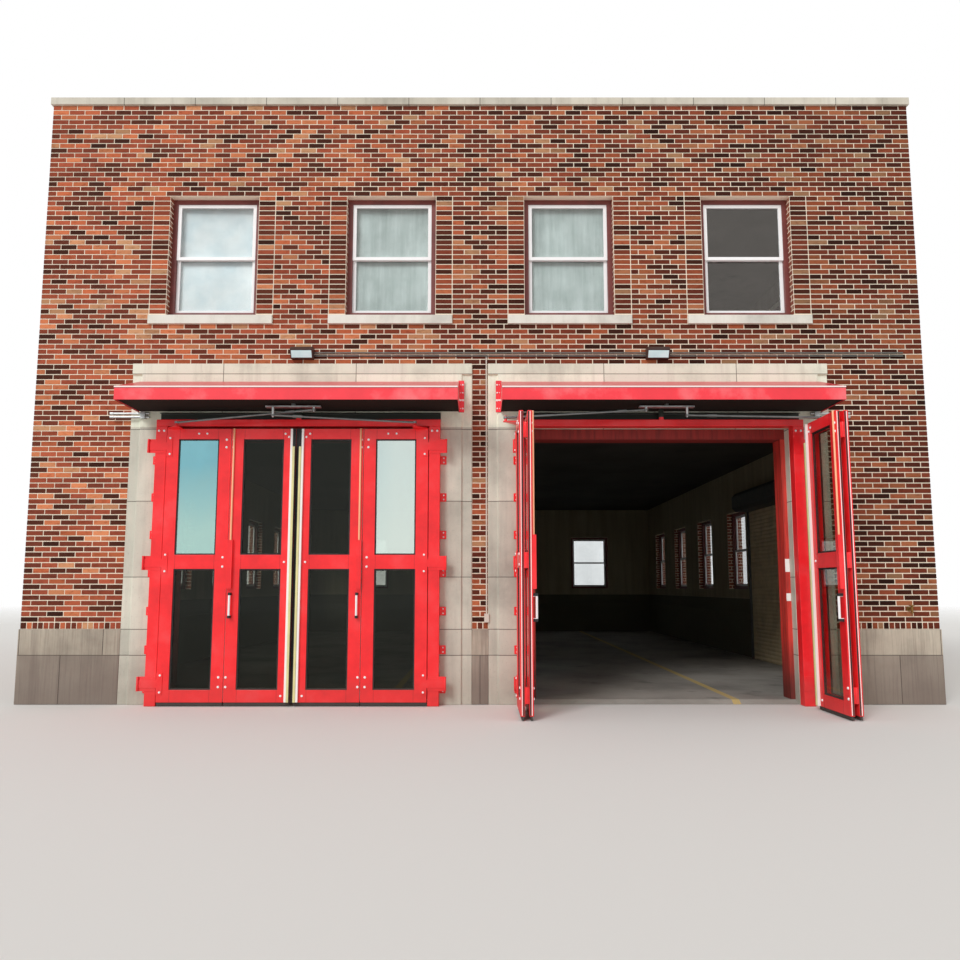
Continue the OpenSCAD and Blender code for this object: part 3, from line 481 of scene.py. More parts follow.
def build_room_group():
    """Where a wall faces the room, and the painted plaster it has there."""
    nodes, _, out = new_group("room", {}, {"Inside": "Float", "Plaster": "Color"})
    height = nodes.place()["Z"]
    lined = nodes.within(SIDE - WALL_T + BEHIND_PLASTER, FRONT - WALL_T + BEHIND_PLASTER)
    under = nodes.below(height, ROOM_TOP)
    nodes.feed(out["Inside"], nodes.times(lined, under))
    marks = nodes.weathering(0.8, 6.0, 200.0, 0.8)
    plaster = nodes.ramp(marks["Streaks"], (0.35, "#968A6E"), (0.7, "#AA9D80"))
    nodes.feed(out["Plaster"], nodes.blend(nodes.below(height, DADO_TOP), plaster, "#5A5544"))


# Finishes


def brick_finish():
    """Brick of many tones with darker flashes and dirty streaks; painted sunlight makes it lighter to the
    left and painted shade makes the front darker to the right.
    """
    mix = Finish("brick", 0.88, Specular_IOR_Level=0.12)
    weather = mix.weathering(0.5, 5.0, 220.0, 1.6)
    colour = mix.ramp(mix.attribute("tint"), (0.00, "#3A1F17"), (0.12, "#522B1F"), (0.28, "#6E3628"),
                      (0.48, "#88422F"), (0.66, "#9E4F38"), (0.82, "#B3603F"), (0.93, "#C37852"),
                      (0.98, "#B88864"))
    flash = mix.noise(14.0, 3, 0.6, 2.5)
    flashed = mix.blend(1.0, colour, "#9A7A66", "MULTIPLY")
    colour = mix.blend(mix.spread(flash, 0.52, 0.75, 0.5), colour, flashed)
    colour = mix.blend(mix.spread(weather["Grain"], 0.56, 0.74, 0.35), colour, "#2A1B17")
    place = mix.place()
    # Painted sunlight: the bricks are lighter towards the left, where the sun comes from
    painted_sun_left = mix.spread(place["X"], SIDE, -SIDE, 0.24)
    light = mix.plus(mix.scaled(mix.attribute("shade"), 0.46, 0.70), painted_sun_left)
    # Painted shade: the front's bricks are darker towards the right
    in_front = mix.spread(place["Y"], *PAINTED_SHADE_Y)
    painted_shade_right = mix.times(in_front, mix.scaled(mix.spread(place["X"], *PAINTED_SHADE_X), 0.40, -0.05))
    colour = mix.toned(colour, mix.times(light, mix.rest(painted_shade_right)))
    colour = mix.blend(mix.spread(weather["Streaks"], 0.55, 0.8, 0.25), colour, "#3A2A25")
    mix.set(Roughness=mix.scaled(flash, 0.18, 0.78))
    return mix.done(colour, mix.scaled(mix.noise(45.0), 1.6, weather["Grain"]), 0.0016, 0.7)


def mortar_finish(colour):
    """Mortar between the laid bricks, courses in openings and on the parapet, plaster inside the room."""
    mix = Finish("mortar_and_plaster", 0.95)
    weather = mix.weathering(0.8, 6.0, 350.0, 1.4)
    sand = mix.ramp(weather["Mottle"], (0.30, shaded(colour, 0.78)), (0.52, colour))
    sand = mix.blend(mix.spread(weather["Grain"], 0.55, 0.7, 0.25), sand, "#A08E72")
    place = mix.place()
    drawing = mix.add("CombineXYZ", X=mix.plus(place["X"], place["Y"]), Y=mix.plus(place["Z"], -FIRST_COURSE))
    courses = mix.add("TexBrick", {"offset": 0.5, "squash": 1.0}, Vector=drawing.outputs[0],
                      Color1="#7A3A2A", Color2="#9A5238", Mortar=colour, Scale=1.0, Mortar_Size=0.0066,
                      Brick_Width=BRICK, Row_Height=COURSE).outputs["Color"]
    behind = mix.within(SIDE - BEHIND_FACE, FRONT - BEHIND_FACE)
    return mix.done(mix.plastered(mix.blend(behind, sand, courses)), weather["Grain"], 0.002, 0.6)


def stone_finish(name, middle, dark, pale, grime):
    """Limestone with a tone for each stone, grimy streaks and foot, small pits and dark joints."""
    mix = Finish(name, 0.85)
    weather = mix.weathering(1.3, 7.0, 160.0, 0.85)
    colour = mix.ramp(weather["Mottle"], (0.28, shaded(middle, 0.72)), (0.50, middle), (0.72, pale))
    colour = mix.toned(colour, mix.scaled(mix.attribute("tint"), 0.20, 0.90))
    colour = mix.blend(mix.spread(weather["Streaks"], 0.50, 0.78, 0.55 * grime), colour, dark)
    colour = mix.blend(mix.scaled(weather["Foot"], 0.85 * grime), colour, dark)
    pits = mix.spread(mix.noise(60.0, 4, 0.7), 0.60, 0.72)
    colour = mix.blend(mix.scaled(pits, 0.35), colour, dark)
    colour = mix.blend(mix.scaled(mix.attribute("joint"), 0.8), colour, shaded(dark, 0.5))
    return mix.done(mix.plastered(colour), mix.scaled(pits, -1.5, weather["Grain"]), 0.002, 0.5)


def base_finish(middle, dark, pale):
    """Tooled base stones: a pale upper course with upright tool marks over a darker, damp one."""
    mix = Finish("base_limestone", 0.88)
    weather = mix.weathering(1.1, 5.0, 140.0, 0.55)
    tone = mix.ramp(weather["Mottle"], (0.30, shaded(middle, 0.7)), (0.5, middle), (0.75, pale))
    tone = mix.toned(tone, mix.scaled(mix.attribute("tint"), 0.26, 0.86))
    tooling = mix.noise(34.0, 4, 0.7, 0.03)
    tone = mix.blend(mix.spread(tooling, 0.48, 0.66, 0.40), tone, dark)
    lower = mix.below(mix.place()["Z"], BASE_JOINT)
    damp = mix.scaled(lower, 0.45, mix.scaled(weather["Foot"], 0.30))
    tone = mix.blend(damp, tone, dark)
    tone = mix.blend(mix.spread(weather["Streaks"], 0.5, 0.72, 0.45), tone, dark)
    tone = mix.blend(mix.scaled(mix.attribute("joint"), 0.8), tone, shaded(dark, 0.4))
    return mix.done(mix.plastered(tone), mix.scaled(weather["Grain"], 0.5, tooling), 0.003, 0.6)


def enamel_finish(name, colour, roughness, fade, dirt, above=None, above_colour=None):
    """Painted steel with faint waves, faded patches and dust near the ground.

    What lies above a given height can have another colour."""
    mix = Finish(name, roughness, Specular_IOR_Level=0.35, Coat_Weight=0.15, Coat_Roughness=0.12)
    weather = mix.weathering(2.2, 12.0, 90.0, 0.25)
    tone = mix.ramp(weather["Mottle"], (0.30, shaded(colour, 0.82)), (0.52, colour),
                    (0.80, paler(colour, fade)))
    dust = mix.maths("MAXIMUM", mix.scaled(weather["Foot"], dirt),
                     mix.spread(weather["Streaks"], 0.62, 0.82, dirt * 0.6))
    tone = mix.blend(dust, tone, "#6A4B42")
    if above:
        tone = mix.blend(mix.above(mix.place()["Z"], above), tone, above_colour)
    mix.set(Roughness=mix.scaled(weather["Foot"], 0.3, roughness))
    return mix.done(tone, mix.noise(30.0, 2), 0.0006, 0.35)


def canopy_finish(colour):
    """Sun-bleached enamel with a painted white highlight along the upper lip, deeper on the slope, matt and
    near black underneath.
    """
    mix = Finish("canopy_enamel", 0.42, Specular_IOR_Level=0.3)
    weather = mix.weathering(1.6, 5.0, 90.0, 0.4)
    tone = mix.ramp(weather["Mottle"], (0.30, shaded(colour, 0.86)), (0.52, colour),
                    (0.78, paler(colour, 0.22)))
    height, facing = mix.place()["Z"], mix.place("Normal")["Z"]
    painted_highlight_lip = mix.times(mix.above(height, CANOPY_HIGHLIGHT_BAND[0]), mix.below(height, CANOPY_HIGHLIGHT_BAND[1]))
    slope = mix.times(mix.above(facing, 0.5), mix.above(height, CANOPY_SLOPE))
    tone = mix.blend(mix.scaled(slope, 0.6), tone, "#B92F3E")
    # Painted highlight: the upper lip is whitened where its edge catches the light
    tone = mix.blend(mix.scaled(painted_highlight_lip, 0.92), tone, "#FFF6F2")
    under = mix.below(facing, -0.6)
    mix.set(Coat_Weight=mix.scaled(under, -0.25, 0.25), Roughness=mix.scaled(under, 0.58, 0.42))
    return mix.done(mix.blend(under, tone, "#221812"), mix.noise(26.0, 2), 0.0008, 0.4)


def worn_paint_finish(name, colour, under, wear):
    """Old brushed paint, rubbed through to the wood in long scratches."""
    mix = Finish(name, 0.6)
    weather = mix.weathering(3.0, 22.0, 200.0, 0.7)
    tone = mix.ramp(weather["Streaks"], (0.30, shaded(colour, 0.55)), (0.50, colour),
                    (0.75, shaded(colour, 1.35)))
    rubbed = mix.spread(mix.times(weather["Streaks"], weather["Mottle"]), 0.36, 0.42)
    tone = mix.blend(mix.scaled(rubbed, wear), tone, under)
    tone = mix.blend(mix.scaled(weather["Foot"], 0.8), tone, "#3A211B")
    return mix.done(tone, mix.scaled(rubbed, -1.0, mix.noise(90.0, squash=0.05)), 0.0015, 0.6)


def plain_paint_finish(name, colour, roughness, dirt):
    """Sound paint with a little dirt in patches."""
    mix = Finish(name, roughness)
    weather = mix.weathering(4.0, 20.0, 180.0, 0.3)
    tone = mix.ramp(weather["Mottle"], (0.3, shaded(colour, 1 - dirt)), (0.6, colour))
    return mix.done(tone, weather["Grain"], 0.0005, 0.4)


def lens_finish():
    """Frosted lens of a floodlight that glows faintly."""
    mix = Finish("frosted_lens", 0.25, Emission_Strength=0.22)
    weather = mix.weathering(6.0, 40.0, 260.0, 0.3)
    tone = mix.ramp(weather["Mottle"], (0.3, "#B9E4E6"), (0.7, "#D2F4F6"))
    mix.set(Emission_Color=tone)
    return mix.done(tone, weather["Grain"], 0.0006, 0.5)


def steel_finish(name, colour, roughness, rust=0.0, painted_below=None):
    """Bare metal with spots of rust, and pale paint on what lies below a given height."""
    mix = Finish(name, roughness)
    weather = mix.weathering(9.0, 30.0, 260.0, 0.3)
    tone = mix.ramp(weather["Mottle"], (0.35, shaded(colour, 0.7)), (0.6, colour))
    spots = mix.spread(weather["Mottle"], 0.55, 0.7, rust)
    tone = mix.blend(spots, tone, "#6B3A22")
    metal = mix.maths("SUBTRACT", 0.9, spots, clamp=True)
    if painted_below:
        paint = mix.below(mix.place()["Z"], painted_below)
        tone = mix.blend(paint, tone, "#D8CFC2")
        metal = mix.times(metal, mix.rest(paint))
    mix.set(Metallic=metal, Roughness=mix.scaled(weather["Mottle"], 0.25, roughness))
    return mix.done(tone, weather["Grain"], 0.0004, 0.5)


def glass_finish(name, tint, ior, sheen, metallic=0.0):
    """Tinted glass; sheen colours what it reflects, and a metallic part stands for a mirror film whose colour
    paints the sky's reflection.
    """
    mix = Finish(name, 0.015, metallic, Transmission_Weight=1.0, IOR=ior, Specular_Tint=sheen)
    mottle = mix.weathering(1.0, 10.0, 50.0, 0.6)["Mottle"]
    tone = mix.ramp(mottle, (0.3, shaded(tint, 0.8)), (0.7, tint))
    if metallic:
        # Painted reflection: the film pales towards the sky's cyan lower down and almost to white towards the
        # pier
        place = mix.place()
        painted_sky_height = mix.scaled(mottle, 0.9, place["Z"])
        tone = mix.blend(mix.spread(painted_sky_height, *FILM_SKY_Z), tone, "#BFE2DA")
        tone = mix.blend(mix.spread(place["X"], *FILM_GLARE_X, 0.8), tone, "#F2F8F0")
    mix.set(Base_Color=tone)
    clear = mix.add("BsdfTransparent", Color=shaded(tint, 0.9))
    shadow = mix.add("LightPath").outputs["Is Shadow Ray"]
    both = mix.add("MixShader")
    for socket, value in zip(both.inputs, (shadow, mix.shader.outputs[0], clear.outputs[0])):
        mix.feed(socket, value)
    mix.feed(mix.tree.nodes["Material Output"].inputs["Surface"], both.outputs[0])
    return mix.material


def rubber_finish():
    """Black rubber, dusty near the ground."""
    mix = Finish("black_rubber", 0.7)
    weather = mix.weathering(8.0, 30.0, 200.0, 0.3)
    tone = mix.ramp(weather["Mottle"], (0.3, grey(0.006)), (0.7, grey(0.02)))
    tone = mix.blend(mix.scaled(weather["Foot"], 0.4), tone, "#5A5048")
    return mix.done(tone, weather["Grain"], 0.0006, 0.5)


def concrete_finish(name, middle, roughness=0.9, lanes=()):
    """Mottled concrete with oil stains; lanes are where worn yellow lines run towards the doors."""
    mix = Finish(name, roughness)
    weather = mix.weathering(0.7, 2.0, 120.0, 0.1)
    tone = mix.ramp(weather["Mottle"], (0.3, shaded(middle, 0.6)), (0.55, middle), (0.8, shaded(middle, 1.2)))
    tone = mix.blend(mix.spread(mix.noise(1.7, 5), 0.60, 0.72, 0.5), tone, grey(0.03))
    across = mix.place()["X"]
    for lane in lanes:
        near = mix.below(mix.maths("ABSOLUTE", mix.plus(across, -lane)), LANE_HALF)
        worn = mix.times(near, mix.spread(weather["Grain"], 0.30, 0.55, 0.85))
        tone = mix.blend(worn, tone, "#D2B45E")
    return mix.done(tone, weather["Grain"], 0.0015, 0.5)


def blind_finish():
    """Pale blinds; the ones further from the left corner are greyer."""
    mix = Finish("window_blind", 0.8)
    weather = mix.weathering(2.4, 14.0, 200.0, 0.1)
    fresh = mix.ramp(weather["Mottle"], (0.3, "#E2EEF2"), (0.6, "#FDFFFF"))
    grey_pattern = mix.scaled(mix.plus(weather["Mottle"], weather["Streaks"]), 0.5)
    greyer = mix.ramp(grey_pattern, (0.36, "#A9B4B0"), (0.62, "#D4DCD8"))
    tone = mix.blend(mix.spread(mix.place()["X"], *BLIND_X), fresh, greyer)
    return mix.done(tone, mix.noise(60.0, squash=0.02), 0.003, 0.35)


def build_finishes():
    look = settings().station_colours
    build_weathering_group()
    build_room_group()
    return {
        "brick": brick_finish(),
        "mortar": mortar_finish(settings().station_brickwork.mortar),
        "base": base_finish("#B9AD9C", "#6E5F58", "#D0C6B4"),
        "stone": stone_finish("limestone", look.stone, look.stone_dark, "#E0DACA", 0.45),
        # Heads: partly rain-washed stone, partly painted sunlight above the canopies' shade
        "washed_sunlit_stone": stone_finish("washed_sunlit_limestone", look.stone_washed_sunlit, "#857A6B", "#F2EEDF", 0.5),
        "coping_stone": stone_finish("coping_limestone", "#CFC8B8", "#7A7164", "#E2DCCE", 0.7),
        "sill_stone": stone_finish("sill_limestone", "#F2F0E4", "#9A8F80", "#FBF9F0", 0.35),
        "door_red": enamel_finish("door_enamel", look.door_red, 0.28, 0.06, 0.18),
        "header_red": enamel_finish("header_enamel", look.door_red, 0.3, 0.05, 0.2, HEADER_TOP, "#30352F"),
        # The lock rods' thin upper part is pale peach: a painted highlight where the rod catches the light
        "rod_red_painted_glint": enamel_finish("rod_enamel_painted_glint", look.door_red, 0.28, 0.06, 0.2, ROD_GLINT_FOOT, "#FFB68A"),
        "canopy_red": canopy_finish(look.canopy_red),
        "timber": worn_paint_finish("old_timber_paint", look.timber_red, "#6B4A34", 0.8),
        # The lintels' deeper red is painted shade under the canopies; the rubbed patches are wear
        "lintel": worn_paint_finish("lintel_paint_in_painted_shade", "#8C1F1A", "#4A3026", 0.5),
        "maroon": plain_paint_finish("maroon_paint", look.maroon, 0.45, 0.35),
        "white": plain_paint_finish("white_paint", "#FFFFFF", 0.4, 0.05),
        "bronze": plain_paint_finish("bronze_enamel", "#43302A", 0.4, 0.3),
        "seam": plain_paint_finish("seam_shadow", "#5A0C10", 0.6, 0.3),
        "bolt": plain_paint_finish("zinc_bolt", "#FFFFFF", 0.3, 0.03),
        "white_strip": plain_paint_finish("white_strip", "#FFFCF8", 0.35, 0.04),
        "yellow_strip": plain_paint_finish("yellow_strip", look.tape_yellow, 0.35, 0.15),
        "shutter": plain_paint_finish("tan_shutter", "#D2BE96", 0.5, 0.25),
        "window_glass": glass_finish("window_glass", "#F0F4F4", 1.7, "#E8DED6"),
        "door_glass": glass_finish("door_glass", look.glass, 1.45, "#B4B8B0"),
        "clear_glass": glass_finish("clear_glass", "#E6EAE2", 1.45, "#C8CCC4"),
        # A mirror film whose colour and pale patches are a painted reflection of the sky
        "film_glass_painted_sky": glass_finish("film_glass_painted_sky", look.film, 1.5, "#B4D8DA", 0.75),
        "steel": steel_finish("bright_steel", "#C9CCCC", 0.25),
        "grey_steel": steel_finish("grey_steel", "#8E9190", 0.4, 0.15),
        "shutter_steel": steel_finish("shutter_steel", "#6A6A66", 0.5, 0.2),
        "conduit": steel_finish("conduit_steel", "#7B7C78", 0.5, 0.25, PIER_DROP),
        "brass": steel_finish("brass", "#8F6F3E", 0.4, 0.3),
        "concrete": concrete_finish("hall_floor_concrete", "#9C978F", lanes=LANES),
        "ceiling": concrete_finish("ceiling_concrete", "#4A453F"),
        "roofing": concrete_finish("roof_gravel", "#7D7870", 0.95),
        "blind": blind_finish(),
        "rubber": rubber_finish(),
        "lens": lens_finish(),
    }


FINISHES = {}

# Which finish each node of the frame gets
NODE_FINISHES = {
    "ground_floor": "concrete", "upper_floor": "ceiling", "roof_slab": "roofing",
    "base_front": "base", "base_sides": "base", "base_rear": "base",
    "front_wall_ends": "mortar", "front_pier": "mortar", "front_wall_upper": "mortar",
    "left_wall": "mortar", "right_wall": "mortar", "rear_wall": "mortar",
    "coping_front_rear": "coping_stone", "coping_sides": "coping_stone",
    "surround_jambs": "stone", "surround_heads": "washed_sunlit_stone",
    "timber_jambs": "timber", "timber_lintels": "lintel",
    "window_sills": "sill_stone", "window_frames": "maroon",
    "upper_sashes": "white", "lower_sashes": "white",
    "window_glass": "window_glass", "window_blinds": "blind",
    "roller_shutter": "shutter", "shutter_guides": "shutter_steel", "shutter_hood": "shutter_steel",
    "door_posts": "door_red", "door_headers": "header_red",
    "jamb_leaves": "door_red", "lead_leaves": "door_red",
    "door_glass": "door_glass", "door_seals": "rubber", "door_hinges": "door_red",
    "door_handles": "white", "lock_rods": "rod_red_painted_glint",
    "canopies": "canopy_red", "drive_cranks": "steel", "drive_rods": "grey_steel",
    "drive_levers": "door_red", "wall_lights": "bronze", "light_lenses": "lens",
    "light_conduits": "conduit", "side_tubes": "steel", "hose_tap": "brass",
}

# Rounded edges of nodes, in metres
NODE_ARRIS = {
    "window_frames": 0.003, "upper_sashes": 0.003, "lower_sashes": 0.003,
    "door_posts": 0.006, "door_headers": 0.006, "jamb_leaves": 0.003, "lead_leaves": 0.003,
    "door_hinges": 0.002, "lock_rods": 0.004, "canopies": 0.003, "drive_cranks": 0.002,
    "drive_levers": 0.003, "wall_lights": 0.004, "shutter_hood": 0.003,
}


# Meshes


def new_mesh(name, bm):
    mesh = bpy.data.meshes.new(name)
    bm.to_mesh(mesh)
    bm.free()
    return mesh


def new_object(name, data):
    made = bpy.data.objects.new(name, data)
    bpy.context.scene.collection.objects.link(made)
    return made


def pour(part, bm):
    """Moves everything of one mesh into another."""
    mesh = new_mesh("part", part)
    bm.from_mesh(mesh)
    bpy.data.meshes.remove(mesh)


def new_piece(name, bm, finish_names):
    """A finished mesh that rides on the building."""
    piece = new_object(name, new_mesh(name, bm))
    for finish_name in finish_names:
        piece.data.materials.append(FINISHES[finish_name])
    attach(piece, "root")
    return piece


def wall_frame(side):
    """From a flat drawing of a wall, X along it seen from outside, Y up and Z outwards, to its place."""
    turn, reach = WALLS[side]
    return (Matrix.Rotation(math.radians(turn), 4, "Z") @ Matrix.Translation((0, -reach, 0))
            @ Matrix.Rotation(math.radians(90), 4, "X"))


def solids(node):
    """Lowest and highest corner of each separate solid of a node."""
    bm = bmesh.new()
    bm.from_mesh(NODES[node].data)
    bmesh.ops.remove_doubles(bm, verts=bm.verts, dist=POINT)
    left = set(bm.verts)
    boxes = []
    while left:
        stack = [left.pop()]
        low, high = stack[0].co.copy(), stack[0].co.copy()
        while stack:
            vert = stack.pop()
            low = Vector(map(min, low, vert.co))
            high = Vector(map(max, high, vert.co))
            for edge in vert.link_edges:
                other = edge.other_vert(vert)
                if other in left:
                    left.remove(other)
                    stack.append(other)
        boxes.append((low, high))
    bm.free()
    return sorted(boxes, key=lambda b: tuple(round(c, 4) for c in b[0]))


# Bricks


def lay_field(bm, span, low, rows, course, module, origin, first_odd):
    """Flat bricks over one stretch of a wall drawing, cut off square at both ends.

    Rows are counted from low; first_odd says which rows are moved by half a brick, or None for none."""
    left, right = span
    first = math.floor((left - origin) / module + EDGE) - 1
    last = math.ceil((right - origin) / module - EDGE)
    field = bmesh.new()
    bmesh.ops.create_grid(
        field, x_segments=last - first, y_segments=rows, size=0.5,
        matrix=Matrix.Translation((origin + (first + last) / 2 * module, low + rows * course / 2, 0))
        @ Matrix.Diagonal(((last - first) * module, rows * course, 1, 1)))
    level = [e for e in field.edges if not e.is_boundary
             and abs(e.verts[0].co.y - e.verts[1].co.y) < EDGE]
    if level:
        bmesh.ops.split_edges(field, edges=level)
    if first_odd is not None:
        moved = {v for f in field.faces for v in f.verts
                 if (int((f.calc_center_median().y - low) / course) + first_odd) % 2}
        bmesh.ops.translate(field, verts=list(moved), vec=(module / 2, 0, 0))
    for place, outward in ((left, -1), (right, 1)):
        bmesh.ops.bisect_plane(field, geom=field.verts[:] + field.edges[:] + field.faces[:], dist=POINT,
                               plane_co=(place, 0, 0), plane_no=(outward, 0, 0), clear_outer=True)
    slivers = [f for f in field.faces
               if max(v.co.x for v in f.verts) - min(v.co.x for v in f.verts) < min(SLIVER, module / 2)]
    shared = [e for f in slivers for e in f.edges if len(e.link_faces) == 2]
    if shared:
        bmesh.ops.dissolve_edges(field, edges=shared, use_verts=True)
    pour(field, bm)


def wall_side(low, high):
    """The wall that a window sill or opening belongs to, and its ends in that wall's drawing."""
    if low.y < -FRONT:
        return "front", low.x, high.x
    if high.y > FRONT:
        return "rear", -high.x, -low.x
    if low.x < -SIDE:
        return "left", -high.y, -low.y
    return "right", low.y, high.y


def snap(height):
    """The nearest course above the brick on edge."""
    return FIRST_COURSE + round((height - FIRST_COURSE) / COURSE) * COURSE


def window_places():
    """For each wall: left end, right end, sill underside and head of each window's brickwork."""
    places = {side: [] for side in WALLS}
    for low, high in solids("window_sills"):
        side, left, right = wall_side(low, high)
        under = snap(low.z)
        places[side].append((left, right, under, under + WINDOW_COURSES * COURSE))
    return places


def spans(areas, holes, height):
    """Stretches of a wall drawing that are brick at that height."""
    found = sorted((a[0], a[1]) for a in areas if a[2] < height < a[3])
    for left, right, low, high in holes:
        if not low < height < high:
            continue
        cut = []
        for start, end in found:
            if right <= start or left >= end:
                cut.append((start, end))
                continue
            if left - start > EDGE:
                cut.append((start, left))
            if end - right > EDGE:
                cut.append((right, end))
        found = cut
    return found


def brick_layout(side, windows):
    """Areas of brick, holes in them and stack-bonded strips beside the windows, for one wall."""
    half = HALF_WIDTHS[side]
    areas = [(-half, half, BASE_TOP, WALL_TOP)]
    if side == "front":
        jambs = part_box("surround_jambs")
        pier = 2 * BAY_X - jambs[1].x
        areas = [(-half, -jambs[1].x, BASE_TOP, SURROUND_TOP), (-pier, pier, BASE_TOP, SURROUND_TOP),
                 (jambs[1].x, half, BASE_TOP, SURROUND_TOP), (-half, half, SURROUND_TOP, WALL_TOP)]
    holes = list(windows)
    if side == "right":
        low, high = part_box("roller_shutter")
        middle = (low.y + high.y) / 2
        reach = SHUTTER_BRICKS / 2 * BRICK
        head = FIRST_COURSE + SHUTTER_COURSES * COURSE
        holes.append((middle - reach, middle + reach, 0, head))
    frame_low, frame_high = solids("window_frames")[0]
    width = max(frame_high.x - frame_low.x, frame_high.y - frame_low.y)
    strips = []
    for left, right, low, high in windows:
        strip = (right - left - width) / 2
        foot = low + 2 * COURSE
        strips += [(left, left + strip, foot, high), (right - strip, right, foot, high)]
    return areas, holes, strips


def flat_bricks(side, windows):
    """Every brick of one wall as a flat face, edge to edge."""
    sizes = settings().station_brickwork
    half = HALF_WIDTHS[side]
    areas, holes, strips = brick_layout(side, windows)
    bm = bmesh.new()
    for span in spans(areas, holes, (BASE_TOP + FIRST_COURSE) / 2):
        lay_field(bm, span, BASE_TOP, 1, FIRST_COURSE - BASE_TOP, sizes.rowlock, -half, None)
    levels = sorted({round(z, 5) for a in areas + holes for z in a[2:] if z > FIRST_COURSE - EDGE}
                    | {round(FIRST_COURSE, 5)})
    along = side in ("left", "right")
    for low, high in zip(levels, levels[1:]):
        rows = round((high - low) / COURSE)
        first_row = round((low - FIRST_COURSE) / COURSE)
        for span in spans(areas, holes, (low + high) / 2):
            lay_field(bm, span, low, rows, COURSE, BRICK, -half, first_row + along)
    for left, right, low, high in strips:
        lay_field(bm, (left, right), low, round((high - low) / COURSE), COURSE, right - left, left, None)
    return bm


def brick_wall(side, windows, seed):
    """Bricks of one wall standing out of their mortar, each with its own tone."""
    sizes = settings().station_brickwork
    rng = random.Random(seed)
    half = HALF_WIDTHS[side]
    bm = flat_bricks(side, windows)
    tint = bm.faces.layers.float.new("tint")
    shade = bm.faces.layers.float.new("shade")
    lift = bm.faces.layers.float.new("lift")
    for face in sorted(bm.faces, key=lambda f: tuple(round(c, 4) for c in f.calc_center_median())):
        middle = face.calc_center_median()
        reach = max(abs(v.co.x) for v in face.verts)
        if reach > half - EDGE:
            row = round(middle.y / COURSE * 2)
            pick = random.Random(CORNERS[side][middle.x > 0] * CORNER_SEED + row)
            face[tint], face[shade], face[lift] = pick.random(), pick.random(), 0.0
        else:
            face[tint], face[shade] = rng.random(), rng.random()
            face[lift] = rng.uniform(-LIFT, LIFT)
    joints = bmesh.ops.inset_individual(bm, faces=bm.faces[:], thickness=sizes.joint / 2,
                                        use_even_offset=True)
    bmesh.ops.delete(bm, geom=joints["faces"], context="FACES")
    tops = bmesh.ops.extrude_discrete_faces(bm, faces=bm.faces[:])["faces"]
    for face in tops:
        for vert in face.verts:
            vert.co.z = sizes.proud + face[lift]
    ends = half + sizes.proud if side in ("front", "rear") else half
    for vert in bm.verts:
        if abs(vert.co.x) > half - sizes.joint / 2 - EDGE:
            vert.co.x = math.copysign(ends, vert.co.x)
    bmesh.ops.inset_individual(bm, faces=tops, thickness=sizes.arris, depth=-sizes.arris * ARRIS_SLOPE,
                               use_even_offset=True)
    bm.faces.layers.float.remove(lift)
    bmesh.ops.transform(bm, matrix=wall_frame(side), verts=bm.verts[:])
    return bm


# Stone


def merged_copy(bm, node):
    """Adds a node's solids to a mesh, with their loose triangles joined."""
    part = bmesh.new()
    part.from_mesh(NODES[node].data)
    bmesh.ops.remove_doubles(part, verts=part.verts, dist=POINT)
    bmesh.ops.dissolve_limit(part, angle_limit=math.radians(0.5), verts=part.verts[:], edges=part.edges[:])
    pour(part, bm)


def cut_joint(bm, axis, place, reach=None):
    """A tooled joint across stones: a shallow groove at one level along axis, inside reach on z."""
    normal = [0, 0, 0]
    normal[axis] = 1
    for step in (-STONE_JOINT / 2, 0, STONE_JOINT / 2):
        faces = [f for f in bm.faces if reach is None or reach[0] < f.calc_center_median().z < reach[1]]
        geom = faces + list({e for f in faces for e in f.edges}) + list({v for f in faces for v in f.verts})
        point = [0, 0, 0]
        point[axis] = place + step
        bmesh.ops.bisect_plane(bm, geom=geom, plane_co=point, plane_no=normal, dist=POINT)
    bm.normal_update()
    ring = [v for v in bm.verts if abs(v.co[axis] - place) < POINT
            and (reach is None or reach[0] - 0.001 < v.co.z < reach[1] + 0.001)]
    moves = [(v, v.normal * JOINT_DEPTH) for v in ring]
    for vert, move in moves:
        move[axis] = 0
        vert.co -= move


def stone_tints(bm, cuts, seed):
    """Gives every stone between the joints a tone of its own."""
    tint = bm.faces.layers.float.new("tint")
    joint = bm.faces.layers.float.new("joint")
    for face in bm.faces:
        middle = face.calc_center_median()
        for axis, place, reach in cuts:
            if abs(middle[axis] - place) < STONE_JOINT / 2 and (
                    reach is None or reach[0] < middle.z < reach[1]):
                face[joint] = 1.0
        key = [middle[axis] > place for axis, place, _ in cuts]
        key += [round(value / cell) for value, cell in zip(middle, TONE_CELL)]
        face[tint] = random.Random(f"{seed}{key}").random()


def soften(piece, width, angle=40, segments=2):
    """Rounds a piece's edges, joining loose triangles first."""
    weld = piece.modifiers.new("weld", "WELD")
    weld.merge_threshold = POINT
    bevel = piece.modifiers.new("arris", "BEVEL")
    bevel.width = width
    bevel.segments = segments
    bevel.limit_method = "ANGLE"
    bevel.angle_limit = math.radians(angle)


# Pieces fixed to the doors


def bay_frame(bay, mirrored):
    """Frame with its origin at the foot of the brick face, in the middle of a bay."""
    flip = Matrix.Scale(-1, 4, (1, 0, 0)) if mirrored else Matrix.Identity(4)
    return Matrix.Translation((bay * BAY_X, -FRONT, 0)) @ flip


def pair_frame(bay, hand):
    """Frame of one leaf pair: pivot at the origin, X towards the bay's middle, -Y outwards."""
    return bay_frame(bay, hand) @ Matrix.Translation((-PIVOT_X, -PIVOT_OUT, 0))


